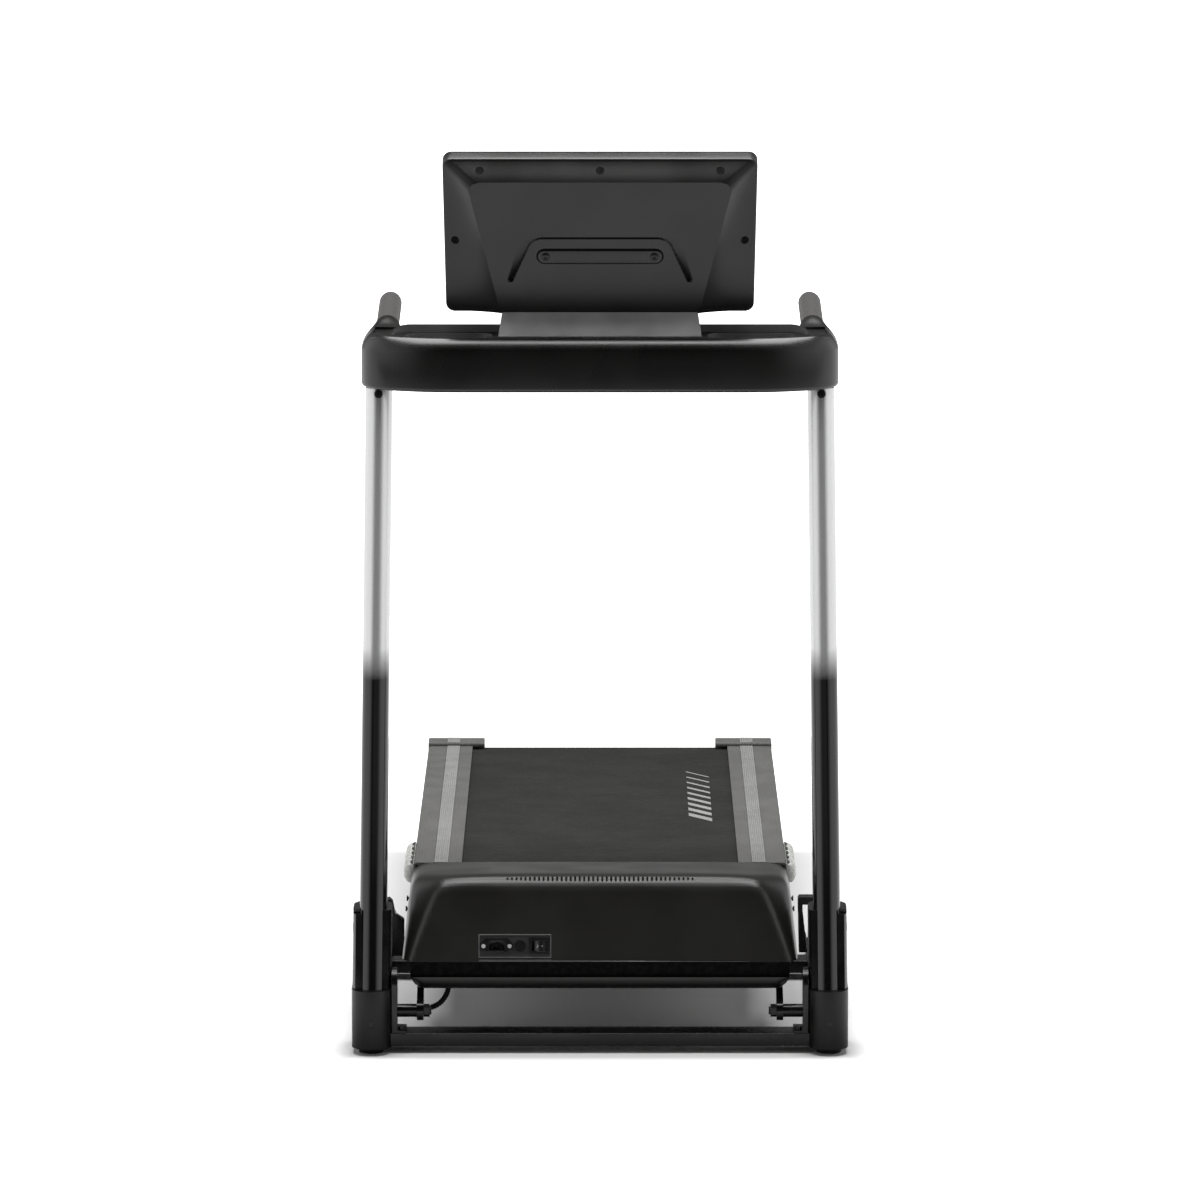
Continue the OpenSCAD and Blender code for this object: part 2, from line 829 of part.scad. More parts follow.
module deck_side_rails() {
    color("#161617") from_front() on_deck() both_sides() {
        difference() {
            box(side_rail_x, side_rail_s, side_rail_n);
            box([side_rail_x[0] + tube_wall, side_rail_x[1] - tube_wall],
                [side_rail_s[0] - eps, side_rail_s[1] + eps],
                [side_rail_n[0] + tube_wall, side_rail_n[1] - tube_wall]);
            for (s = [front_roller_s, rear_roller_s])
                rod_x([side_rail_x[0] - eps, side_rail_x[1] + eps], axle_r + running, [s, roller_n]);
        }
        // Tabs that carry the board's cushions
        for (s = cushion_s) box([223, side_rail_x[0]], [s - 18, s + 18], [-38, -34]);
    }
}

cushion_s = [90, 350, 610, 870, 1130];

module deck_cross_members() {
    color("#161617") from_front() {
        on_deck() for (s = [-52, 560, rear_roller_s - 90])
            tube_x([-side_rail_x[0], side_rail_x[0]], [s, s + 40], [side_rail_n[0], -66]);
        tube_x([-lug_x[0] + slack, lug_x[0] - slack], motor_tube_y, motor_tube_z);
    }
}

// Side plates that hang from the deck's rails to the fold pivot
module pivot_lugs() {
    color("#161617") from_front() both_sides() difference() {
        along_x(lug_x) difference() {
            union() {
                hull() {
                    translate([pivot_y, pivot_z]) circle(r = lug_r, $fn = 48);
                    translate([76, 90]) square([30, 2]);
                }
                translate([76, 90]) square([30, 50]);
                polygon([[76, 135], [106, 135], [165, 155], [165, 170], [104, 170]]);
            }
        }
        rod_x([lug_x[0] - eps, lug_x[1] + eps], pivot_r + running, [pivot_y, pivot_z]);
        on_deck() box([200, 300], [-240, 0], [side_rail_n[0] - 0.01, 0]);
    }
}

// Moulded belly pan under the motor
module motor_pan() {
    color("#1f1e1e") from_front() difference() {
        pan_body(0);
        pan_recess(0);
        difference() {
            pan_body(hood_t);
            pan_recess(hood_t);
        }
        both_sides() box([lug_x[0] - 1, lug_x[1] + 1], [70, 112], [pan_z[0] - eps, pan_z[0] + 10]);
        translate([-232, 108, pan_z[0] - eps]) cylinder(r = loom_r + slack, h = 10);
    }
}

module pan_body(inset) {
    corner = 22;
    hull() {
        along_y([pan_y[0] + inset, pan_y[1] - inset])
            translate([-pan_x + inset, pan_z[0] + corner])
                square([2 * (pan_x - inset), pan_z[1] - pan_z[0] - corner + inset]);
        for (side = [-1, 1]) {
            rod_x([side * (pan_x - corner) - 1, side * (pan_x - corner) + 1], corner - inset,
                [pan_y[0] + corner, pan_z[0] + corner]);
            translate([side * (pan_x - corner), pan_y[0] + corner, pan_z[0] + corner])
                rotate([-90, 0, 0])
                    cylinder(r = corner - inset, h = pan_y[1] - pan_y[0] - corner - inset, $fn = 32);
        }
    }
}

// The step in the pan's front, above its lip
module pan_recess(grow) {
    box([-400, 400], [0, pan_y[0] + 10 + grow], [pan_z[0] + 21 - grow, 200]);
}

module running_board() {
    color("#2b2622") from_front() on_deck() box([-248, 248], [12, rear_roller_s - 36], board_n);
}

module board_cushions() {
    color("#3c3f44") from_front() on_deck() both_sides()
        for (s = cushion_s) translate([236, s, -34]) cylinder(r = 11, h = 8);
}

module belt_loop(r) {
    mid = (front_roller_s + rear_roller_s) / 2;
    translate([mid, roller_n]) rotate(90) oval(2 * r, rear_roller_s - front_roller_s + 2 * r);
}

module running_belt() {
    color("#3d3c3b") from_front() on_deck() along_x([-belt_w / 2, belt_w / 2]) difference() {
        belt_loop(belt_out);
        belt_loop(belt_out - belt_t);
    }
}

module foot_rails() {
    color("#828384") from_front() on_deck() both_sides() along_y([2, cap_s - slack]) difference() {
        polygon([
            [215, -4.5], [215, 0], [236, 0], [236, -1.2], [258, -1.2], [258, 0],
            [deck_half_w - 4, 0], [deck_half_w - 1.2, -1.2], [deck_half_w, -4], [deck_half_w, -55],
            [286.3, -55], [286.3, -4.5], [276, -4.5], [276, -13.7], [270, -13.7], [270, -4.5]
        ]);
    }
}

module rail_strips() {
    color("#acadae") from_front() on_deck() both_sides()
        box([236.2, 257.8], [2, cap_s - slack], [-1.2, 0.2]);
}

module rear_end_caps() {
    color("#7c7d7e") from_front() on_deck() both_sides() {
        box([cap_in, deck_half_w + 0.5], [cap_s, deck_end], [0, cap_n[1]]);
        box([286.3, deck_half_w + 0.5], [cap_s, deck_end], [cap_n[0], 0]);
        box([cap_in, 286.3], [deck_end - 3.5, deck_end], [cap_n[0], 0]);
    }
}

// Air cushions beside the deck, each a row of bulging cells
module air_cushions() {
    cell = 44;
    color("#e8e9e6", 0.7) from_front() on_deck() both_sides() for (i = [0:4])
        translate([deck_half_w + slack, 6 + cell * (i + 0.5), -33]) intersection() {
            union() {
                cylinder(r = cell / 2 - 0.3, h = 30);
                box([0, 3], [-cell / 2, cell / 2], [-1, 31]);
            }
            box([0, 16], [-cell, cell], [-1, 31]);
        }
}

// Steel legs that carry the rear of the deck
module deck_legs() {
    color("#161617") from_front() both_sides() difference() {
        box(leg_x, leg_y, [leg_pad, 140]);
        box([leg_x[0] + tube_wall, leg_x[1] - tube_wall], [leg_y[0] + tube_wall, leg_y[1] - tube_wall],
            [leg_pad + 3, 141]);
        on_deck() box([200, 300], [1000, 1400], [side_rail_n[0], 0]);
    }
}

module deck_feet() {
    color("#0d0d0d") from_front() both_sides()
        box([leg_x[0] - 3, leg_x[1] + 3], [leg_y[0] - 3, leg_y[1] + 3], [0, leg_pad]);
}

module roller_axles() {
    color("#9a9b9d") from_front() on_deck() for (s = [front_roller_s, rear_roller_s])
        rod_x([-side_rail_x[1], side_rail_x[1]], axle_r, [s, roller_n]);
}

// ---- Rollers and drive ----

module roller() {
    difference() {
        rod_x([-belt_w / 2 - 1, belt_w / 2 + 1], roller_r, [0, 0]);
        rod_x([-belt_w / 2 + 14, belt_w / 2 - 14], roller_r - 3, [0, 0]);
        rod_x([-300, 300], axle_r + running, [0, 0]);
    }
}

module front_roller() {
    color("#a7a8aa") from_front() on_deck() translate([0, front_roller_s, roller_n]) {
        roller();
        difference() {
            union() {
                rod_x(pulley_x, roller_pulley_r, [0, 0]);
                rod_x([pulley_x[1] - eps, -belt_w / 2], roller_r - 6, [0, 0]);
            }
            rod_x([-300, 0], axle_r + running, [0, 0]);
        }
    }
}

module rear_roller() {
    color("#a7a8aa") from_front() on_deck() translate([0, rear_roller_s, roller_n]) roller();
}

// The front roller's centre, as (Y, Z) behind the front plane
roller_at = [
    deck_start + front_roller_s * cos(deck_slope) + roller_n * sin(deck_slope),
    deck_top - front_roller_s * sin(deck_slope) + roller_n * cos(deck_slope)
];
motor_at = [motor_y, motor_z];

module motor_housing() {
    color("#55585c") from_front() difference() {
        union() {
            rod_x([-195, -20], motor_r, motor_at);
            box([-170, -45], motor_tube_y, [motor_tube_z[1] + 0.2, motor_z - 20]);
        }
        rod_x([-189, -26], motor_r - 8, motor_at);
        rod_x([-200, -10], 7 + running, motor_at);
    }
}

module motor_rotor() {
    color("#8e8f92") from_front() {
        rod_x([pulley_x[0] - 2, 8], 7, motor_at);
        rod_x([-175, -45], 33, motor_at);
        rod_x([-8, 6], 42, motor_at);
        rod_x([pulley_x[0], pulley_x[1]], motor_pulley_r, motor_at);
    }
}

// Poly-V belt from the motor to the front roller
module drive_belt() {
    color("#151515") from_front() along_x([pulley_x[0] + 3, pulley_x[1] - 3]) difference() {
        belt_wrap(3);
        belt_wrap(0);
    }
}

module belt_wrap(grow) {
    hull() {
        translate(motor_at) circle(r = motor_pulley_r + slack + grow, $fn = 64);
        translate(roller_at) circle(r = roller_pulley_r + slack + grow, $fn = 96);
    }
}

module controller_board() {
    color("#1f4d2b") from_front() {
        box([50, 240], [150, 232], [pan_z[0] + 6, pan_z[0] + 8]);
        box([60, 150], [160, 225], [pan_z[0] + 8, pan_z[0] + 40]);
        for (x = [170, 200, 225]) translate([x, 185, pan_z[0] + 8]) cylinder(r = 9, h = 32);
        for (x = [58, 232]) for (y = [156, 226])
            translate([x, y, pan_z[0] + 3]) cylinder(r = 3, h = 3);
    }
}

// ---- Hood and power panel ----

// Corner points of the hood's right half, drawn in by the wall thickness t and open below and behind
function hood_points(t) = [
    [295 - t, 40 + t, hood_z - sign(t)], [302.5 - t, 54 + t, hood_z - sign(t)],
    [302.5 - t, hood_rear + sign(t), hood_z - sign(t)],
    [249 - t, 60 + t, 250 - t / 2], [291 - t, 112 + t, 246 - t],
    [238 - t, 80 + t / 2, 268 - t], [281 - t, 124 + t / 2, 258 - t],
    [283 - t, hood_rear + sign(t), 244 - t], [291 - t, hood_rear + sign(t), 236 - t]
];

module hood_body(t) {
    pts = concat(hood_points(t), [for (p = hood_points(t)) [-p[0], p[1], p[2]]]);
    hull() polyhedron(pts, [[for (i = [0:len(pts) - 1]) i]]);
}

module motor_hood() {
    color("#1c1b1b") from_front() difference() {
        hood_body(0);
        hood_body(hood_t);
        on_hood_face() box([panel_x[0] - slack, panel_x[1] + slack], [-5, 10],
            [panel_v[0] - slack, panel_v[1] + slack]);
        // Cooling slots, tallest in the middle of the row
        for (i = [0:slot_count - 1]) {
            x = (i - (slot_count - 1) / 2) * slot_pitch;
            tall = 8 - 5 * pow(abs(x) / (slot_count * slot_pitch / 2), 2);
            translate([x - 1.6, 70, 261 - tall / 2]) cube([3.2, 14, tall]);
        }
        both_sides() for (y = [150, 230]) rod_x([280, 310], 2.3, [y, 200]);
    }
}

module power_panel() {
    color("#38383a") from_front() on_hood_face() difference() {
        box(panel_x, [0.5, 3.5], panel_v);
        box([inlet_x - 14, inlet_x + 14], [-5, 10], [switch_v - 10.5, switch_v + 10.5]);
        face_rod(breaker_x, [-5, 10], 7);
        box([rocker_x - 12, rocker_x + 12], [-5, 10], [switch_v - 10, switch_v + 10]);
        for (x = [-20, 20]) face_rod(inlet_x + x, [-5, 10], 1.7);
    }
}

// A rod along the panel's own Y axis
module face_rod(x, y, r) {
    translate([x, y[0], switch_v]) rotate([-90, 0, 0]) cylinder(r = r, h = y[1] - y[0]);
}

// Three-pin mains inlet with a screw flange
module power_inlet() {
    color("#141414") from_front() on_hood_face() {
        difference() {
            union() {
                along_y([-1.8, 0.3]) translate([inlet_x, switch_v])
                    polygon([[-25, -7], [-17, -11], [17, -11], [25, -7], [25, 3], [17, 12], [-17, 12], [-25, 3]]);
                box([inlet_x - 13.7, inlet_x + 13.7], [0.3, 22], [switch_v - 10, switch_v + 10]);
            }
            along_y([-3, 17]) translate([inlet_x, switch_v])
                polygon([[-12, -7.5], [12, -7.5], [12, 3], [7.5, 7.5], [-7.5, 7.5], [-12, 3]]);
            for (x = [-20, 20]) face_rod(inlet_x + x, [-5, 10], 1.7);
        }
        for (p = [[-7, -2.5], [0, 1.5], [7, -2.5]])
            box([inlet_x + p[0] - 1, inlet_x + p[0] + 1], [4, 17.5], [switch_v + p[1] - 2, switch_v + p[1] + 2]);
    }
}

// The overload breaker's bush and the frame of the mains switch
module switch_bodies() {
    color("#161616") from_front() on_hood_face() {
        difference() {
            union() {
                face_rod(breaker_x, [-1.8, 0.3], 8.75);
                face_rod(breaker_x, [0.3, 20], 6.7);
            }
            face_rod(breaker_x, [-3, 16], 4.1);
        }
        difference() {
            union() {
                box([rocker_x - 15.5, rocker_x + 15.5], [-1.8, 0.3], [switch_v - 12.7, switch_v + 12.7]);
                box([rocker_x - 11.7, rocker_x + 11.7], [0.3, 22], [switch_v - 9.7, switch_v + 9.7]);
            }
            box([rocker_x - 10.6, rocker_x + 10.6], [-3, 18], [switch_v - 8, switch_v + 8]);
        }
    }
}

// Mains switch rocker, resting with its right end pressed in
module power_rocker() {
    color("#1d1d1e") from_front() on_hood_face() translate([rocker_x, 6, switch_v])
        rotate([0, 0, rocker_tilt]) difference() {
            union() {
                box([-8.9, 8.9], [-8, -1], [-7.6, 7.6]);
                translate([0, 0, -7.6]) cylinder(r = 4, h = 15.2);
            }
            translate([0, -19, -9]) cylinder(r = 13, h = 18);
        }
}

module breaker_button() {
    color("#0f0f10") from_front() on_hood_face() face_rod(breaker_x, [-4, 12], 4);
}

// Inlet screws and hood screws
module deck_fasteners() {
    color("#c9c9c9") from_front() {
        on_hood_face() for (x = [-20, 20]) {
            face_rod(inlet_x + x, [-4, -1.8], 3.2);
            face_rod(inlet_x + x, [-1.8, 8], 1.6);
        }
        both_sides() for (y = [150, 230]) {
            rod_x([286, 296.6], 2, [y, 200]);
            rod_x([296.6, 299], 4.2, [y, 200]);
        }
    }
}

// ---- Cable loom ----

// One ring of points round the route at point i, square to the way it runs there
function ring(route, i, r, n) = let (
    last = len(route) - 1,
    ahead = route[min(i + 1, last)] - route[max(i - 1, 0)],
    run = ahead / norm(ahead),
    side = cross(run, [0, 1, 0.2]),
    u = side / norm(side),
    v = cross(run, u)
) [for (k = [0:n - 1]) route[i] + r * (cos(360 * k / n) * u + sin(360 * k / n) * v)];

module swept_tube(route, r, n) {
    m = len(route);
    points = [for (i = [0:m - 1]) for (p = ring(route, i, r, n)) p];
    sides = [for (i = [0:m - 2]) for (k = [0:n - 1])
        [i * n + k, (i + 1) * n + k, (i + 1) * n + (k + 1) % n, i * n + (k + 1) % n]];
    ends = [[for (k = [0:n - 1]) k], [for (k = [n - 1:-1:0]) (m - 1) * n + k]];
    polyhedron(points, concat(sides, ends));
}

module cable_loom() {
    color("#111111") from_front() swept_tube(loom_route, loom_r, 12);
}

// ---- Everything ----

base_cross_tubes();
base_rails();
pivot_plates();
pivot_bolts();
latch_brackets();
upright_sockets();
left_upright();
right_upright();
boot_covers();
boot_flanges();
levelling_feet();
frame_bolts();
handlebar_frame();
handlebar_housing();
console_tray();
foam_grips();
grip_end_caps();
console_neck();
console_rear_shell();
console_bezel();
display_window();
display_board();
console_screws();
deck_side_rails();
deck_cross_members();
motor_pan();
pivot_lugs();
running_board();
board_cushions();
running_belt();
foot_rails();
rail_strips();
rear_end_caps();
air_cushions();
motor_hood();
deck_fasteners();
power_panel();
power_inlet();
switch_bodies();
motor_housing();
controller_board();
drive_belt();
deck_legs();
deck_feet();
roller_axles();
cable_loom();
front_roller();
rear_roller();
motor_rotor();
left_wheel();
right_wheel();
start_button();
stop_button();
speed_up_button();
speed_down_button();
safety_key();
power_rocker();
breaker_button();
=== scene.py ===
"""Folding motorised treadmill, seen from the motor end.

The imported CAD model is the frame. Pieces that need finer shape than the CAD are made here and
stand for their CAD nodes; the others keep their CAD mesh and get a better material.
Lengths in the pieces' own numbers are millimetres from the front of the boot covers.
"""

import json
import math

import bmesh
import bpy
from mathutils import Matrix, Vector
from mathutils.bvhtree import BVHTree


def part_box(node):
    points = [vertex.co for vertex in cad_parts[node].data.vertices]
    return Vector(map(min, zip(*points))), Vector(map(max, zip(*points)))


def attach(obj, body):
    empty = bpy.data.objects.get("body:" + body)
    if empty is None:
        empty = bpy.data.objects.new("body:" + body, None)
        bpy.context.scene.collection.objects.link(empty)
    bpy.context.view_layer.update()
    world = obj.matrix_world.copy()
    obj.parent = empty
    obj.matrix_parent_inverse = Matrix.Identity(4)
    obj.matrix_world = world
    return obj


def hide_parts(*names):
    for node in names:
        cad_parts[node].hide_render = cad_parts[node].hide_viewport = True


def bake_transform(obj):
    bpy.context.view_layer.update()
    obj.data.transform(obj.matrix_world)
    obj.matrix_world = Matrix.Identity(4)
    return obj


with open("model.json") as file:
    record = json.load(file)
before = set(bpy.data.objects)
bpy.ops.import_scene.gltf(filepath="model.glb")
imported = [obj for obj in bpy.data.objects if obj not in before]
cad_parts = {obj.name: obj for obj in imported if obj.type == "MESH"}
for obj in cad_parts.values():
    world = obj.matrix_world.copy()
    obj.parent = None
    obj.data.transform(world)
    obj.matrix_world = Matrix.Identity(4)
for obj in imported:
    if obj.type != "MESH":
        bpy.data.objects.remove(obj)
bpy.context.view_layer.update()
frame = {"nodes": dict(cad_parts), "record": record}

MM = 0.001
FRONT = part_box("boot_covers")[0].y
BODIES = {n: b for b, ns in frame["record"]["behaviour"]["bodies"].items() for n in ns}
SLOTS = {s["node"]: s["material_slot"] for s in frame["record"]["subparts"]}


# ---- Places ----


def place(origin, tilt=0.0):
    """Matrix from a local frame in millimetres, tilted about X, to metres in the row frame."""
    x, y, z = origin
    return (
        Matrix.Translation((x * MM, FRONT + y * MM, z * MM))
        @ Matrix.Rotation(math.radians(tilt), 4, "X")
        @ Matrix.Scale(MM, 4)
    )


BASE = place((0, 0, 0))
DECK = place((0, 300, 242), -2.1)
CONSOLE = place((0, 290, 1126.5), 20)
HOOD_FACE = place((0, 40, 139), -math.degrees(math.atan2(20, 111)))
DECK_END = (1600 - 300 - 5 * math.sin(math.radians(2.1))) / math.cos(math.radians(2.1))


# ---- Camera, light and floor ----


LENS, SENSOR = 272.85, 36
CAMERA_AT, CAMERA_DOWN = (0, -14.36403, 3.00085), 9.6


def look_camera():
    """The camera, level and square to the machine, looking a little down."""
    data = bpy.data.cameras.new("camera")
    data.lens = LENS
    data.sensor_width = SENSOR
    data.clip_start, data.clip_end = 0.1, 200
    camera = bpy.data.objects.new("camera", data)
    camera.location = CAMERA_AT
    camera.rotation_euler = (math.radians(90 - CAMERA_DOWN), 0, 0)
    bpy.context.scene.collection.objects.link(camera)
    bpy.context.scene.camera = camera


def area_light(name, place_at, aim, size, power):
    data = bpy.data.lights.new(name, "AREA")
    data.shape = "RECTANGLE"
    data.size, data.size_y = size
    data.energy = power
    light = bpy.data.objects.new(name, data)
    light.location = place_at
    light.rotation_euler = (Vector(aim) - Vector(place_at)).to_track_quat("-Z", "Y").to_euler()
    bpy.context.scene.collection.objects.link(light)


def studio():
    """A large softbox above, a weak light in front, and a world bright at both sides and a little behind."""
    area_light("top_softbox", (0, -0.15, 4.2), (0, -0.15, 0), (3.6, 2.7), 240)
    area_light("low_front", (0, -3.9, 1.2), (0, 0, 0.9), (2.6, 0.4), 0.5)

    world = bpy.data.worlds.new("studio")
    bpy.context.scene.world = world
    world.use_nodes = True
    nodes, links = world.node_tree.nodes, world.node_tree.links
    background = nodes["Background"]
    background.inputs["Color"].default_value = (1, 1, 1, 1)
    split = nodes.new("ShaderNodeSeparateXYZ")
    links.new(nodes.new("ShaderNodeTexCoord").outputs["Generated"], split.inputs["Vector"])

    def math_node(operation, a, b):
        node = nodes.new("ShaderNodeMath")
        node.operation = operation
        for socket, value in zip(node.inputs, (a, b)):
            if isinstance(value, (int, float)):
                socket.default_value = value
            else:
                links.new(value, socket)
        return node.outputs[0]

    def ramp(value, start, stop, low, high):
        node = nodes.new("ShaderNodeMapRange")
        node.interpolation_type = "SMOOTHSTEP"
        ends = {"From Min": start, "From Max": stop, "To Min": low, "To Max": high}
        for name, number in ends.items():
            node.inputs[name].default_value = number
        links.new(value, node.inputs["Value"])
        return node.outputs["Result"]

    sides = ramp(math_node("ABSOLUTE", split.outputs["X"], 0), 0.35, 0.85, 0.006, 1.0)
    behind = ramp(split.outputs["Y"], 0.05, 0.7, 0.0, 0.15)
    glow = math_node("ADD", sides, behind)
    seen = nodes.new("ShaderNodeLightPath").outputs["Is Camera Ray"]
    links.new(math_node("MAXIMUM", glow, seen), background.inputs["Strength"])


def floor():
    """Pale floor that fades to white away from the machine, glowing for camera and glossy rays only."""
    mesh = bpy.data.meshes.new("floor")
    half = 40
    corners = [(-half, -half, 0), (half, -half, 0), (half, half, 0), (-half, half, 0)]
    mesh.from_pydata(corners, [], [(0, 1, 2, 3)])
    plane = bpy.data.objects.new("floor", mesh)
    bpy.context.scene.collection.objects.link(plane)
    half_wide, half_long = 0.38, 0.8
    g = Graph("pale_floor")
    split = g.add("ShaderNodeSeparateXYZ")
    g.link(g.where, split.inputs["Vector"])
    beside = g.math("SUBTRACT", g.math("ABSOLUTE", split.outputs["X"], 0), half_wide)
    beyond = g.math("SUBTRACT", g.math("ABSOLUTE", split.outputs["Y"], 0), half_long)
    away = g.math("MAXIMUM", beside, beyond)
    near = g.ranged(away, 0, 0.72, 0.0, 0.06)
    far = g.ranged(away, 0, 0.4, 0.06, 0.5)
    far = g.math("ADD", far, g.ranged(away, 0, 0.9, 0.5, 2.2))
    path = g.nodes.new("ShaderNodeLightPath")
    seen, mirrored = path.outputs["Is Camera Ray"], path.outputs["Is Glossy Ray"]
    in_reach = g.ranged(split.outputs["Y"], 0.0, 1.0, -4.2, -2.8)
    gloss = g.math("MULTIPLY", g.ranged(away, 0.0, 0.9, 0.0, 0.35), in_reach)
    direct = g.math("MULTIPLY", g.math("ADD", near, far), seen)
    light = g.math("ADD", direct, g.math("MULTIPLY", gloss, mirrored))
    g.link(light, g.shader.inputs["Emission Strength"])
    g.link(g.mix(seen, (0.3, 0.3, 0.3), (0.8, 0.8, 0.8)), g.shader.inputs["Base Color"])
    g.shader.inputs["Emission Color"].default_value = (1, 1, 1, 1)
    g.shader.inputs["Roughness"].default_value = 0.7
    g.shader.inputs["Specular IOR Level"].default_value = 0.05
    mesh.materials.append(g.material)


# ---- Materials ----


class Graph:
    """Small helper that adds nodes to one material and links them."""

    def __init__(self, name):
        self.material = bpy.data.materials.new(name)
        self.material.use_nodes = True
        self.nodes = self.material.node_tree.nodes
        self.links = self.material.node_tree.links
        self.shader = self.nodes["Principled BSDF"]
        self.where = self.nodes.new("ShaderNodeTexCoord").outputs["Object"]

    def add(self, kind, **values):
        node = self.nodes.new(kind)
        for key, value in values.items():
            node.inputs[key.replace("_", " ")].default_value = value
        return node

    def link(self, a, b):
        self.links.new(a, b)

    def noise(self, size, detail=4, vector=None):
        """Noise whose features are about size metres across."""
        node = self.add("ShaderNodeTexNoise", Scale=1 / size, Detail=detail, Roughness=0.6)
        self.link(vector or self.where, node.inputs["Vector"])
        return node.outputs["Fac"]

    def ranged(self, value, low, high, start=0.3, stop=0.7):
        node = self.add("ShaderNodeMapRange")
        node.interpolation_type = "SMOOTHERSTEP" if (start, stop) == (0.3, 0.7) else "LINEAR"
        node.inputs["From Min"].default_value, node.inputs["From Max"].default_value = start, stop
        node.inputs["To Min"].default_value, node.inputs["To Max"].default_value = low, high
        self.link(value, node.inputs["Value"])
        return node.outputs["Result"]

    def math(self, operation, a, b):
        node = self.nodes.new("ShaderNodeMath")
        node.operation = operation
        for socket, value in zip(node.inputs, (a, b)):
            if isinstance(value, (int, float)):
                socket.default_value = value
            else:
                self.link(value, socket)
        return node.outputs[0]

    def mix(self, factor, a, b):
        node = self.nodes.new("ShaderNodeMix")
        node.data_type = "RGBA"
        self.link(factor, node.inputs["Factor"])
        for socket, value in zip((node.inputs[6], node.inputs[7]), (a, b)):
            if isinstance(value, tuple):
                socket.default_value = (*value, 1)
            else:
                self.link(value, socket)
        return node.outputs[2]

    def stretched(self, scale):
        """Object coordinates, scaled per axis."""
        node = self.add("ShaderNodeMapping")
        node.inputs["Scale"].default_value = scale
        self.link(self.where, node.inputs["Vector"])
        return node.outputs["Vector"]

    def bump(self, height, depth, strength=1.0):
        node = self.add("ShaderNodeBump", Strength=strength, Distance=depth)
        self.link(height, node.inputs["Height"])
        self.link(node.outputs["Normal"], self.shader.inputs["Normal"])

    def colour(self, base, spread=0.15, size=0.08):
        """The base colour, drifting a little lighter and darker."""
        low = tuple(c * (1 - spread) for c in base)
        high = tuple(min(1, c * (1 + spread)) for c in base)
        out = self.mix(self.ranged(self.noise(size, 2), 0, 1), low, high)
        self.link(out, self.shader.inputs["Base Color"])

    def roughness(self, middle, spread=0.05, size=0.05):
        drift = self.noise(size, 1)
        self.link(self.ranged(drift, middle - spread, middle + spread), self.shader.inputs["Roughness"])


def moulded(name, base, rough, specular):
    """Injection-moulded plastic whose colour and gloss drift a little."""
    g = Graph(name)
    g.colour(base, 0.1)
    g.roughness(rough, 0.025, 0.09)
    g.shader.inputs["Specular IOR Level"].default_value = specular
    return g.material


def painted(name, base, rough, specular=0.4):
    """Powder coat on steel: faint orange peel and small drifts in gloss."""
    g = Graph(name)
    g.colour(base, 0.08)
    g.roughness(rough, 0.05)
    g.bump(g.noise(0.006, 1), 0.00003, 0.08)
    g.shader.inputs["Specular IOR Level"].default_value = specular
    return g.material


def metal(name, base, rough, along=(1, 1, 1), metallic=1.0):
    """Bare or plated metal with brushing drawn out along one axis."""
    g = Graph(name)
    g.colour(base, 0.1, 0.03)
    lines = g.noise(0.0015, 3, g.stretched(along))
    g.link(g.ranged(lines, rough - 0.08, rough + 0.1), g.shader.inputs["Roughness"])
    g.bump(lines, 0.00003, 0.5)
    g.shader.inputs["Metallic"].default_value = metallic
    return g.material


def rubber(name, base, rough=0.75):
    """Matt rubber or print with a fine grain; also the near-black painted shade."""
    grain, depth = 0.0008, 0.00008
    g = Graph(name)
    g.colour(base, 0.15, 0.03)
    g.roughness(rough, 0.07, 0.01)
    g.bump(g.noise(grain, 3), depth, 0.8)
    g.shader.inputs["Specular IOR Level"].default_value = 0.3
    return g.material


def foam():
    """Closed-cell foam: soft sheen and small open cells."""
    g = Graph("grip_foam")
    g.colour((0.03, 0.0275, 0.0265), 0.2, 0.004)
    g.roughness(0.85, 0.08, 0.003)
    cells = g.add("ShaderNodeTexVoronoi", Scale=1100)
    g.link(g.where, cells.inputs["Vector"])
    g.bump(cells.outputs["Distance"], 0.00025, 0.8)
    g.shader.inputs["Sheen Weight"].default_value = 0.15
    g.shader.inputs["Sheen Roughness"].default_value = 0.4
    return g.material


def upright_paint():
    """Silver lacquer that fades to gloss black towards the foot."""
    g = Graph("upright_paint")
    split = g.add("ShaderNodeSeparateXYZ")
    g.link(g.where, split.inputs["Vector"])
    drift = g.math("MULTIPLY", g.math("SUBTRACT", g.noise(0.03), 0.5), 0.006)
    height = g.math("ADD", split.outputs["Z"], drift)
    silver = g.ranged(height, 0, 1, 0.562, 0.61)
    flake = g.mix(g.ranged(g.noise(0.0006, 2), 0, 1), (0.8, 0.8, 0.81), (0.93, 0.93, 0.94))
    g.link(g.mix(silver, (0.006, 0.006, 0.0065), flake), g.shader.inputs["Base Color"])
    g.link(g.math("MULTIPLY", silver, 0.6), g.shader.inputs["Metallic"])
    g.link(g.ranged(silver, 0.14, 0.26, 0, 1), g.shader.inputs["Roughness"])
    g.bump(g.noise(0.002, 2), 0.00003, 0.4)
    g.shader.inputs["Coat Weight"].default_value = 0.5
    g.shader.inputs["Coat Roughness"].default_value = 0.06
    return g.material


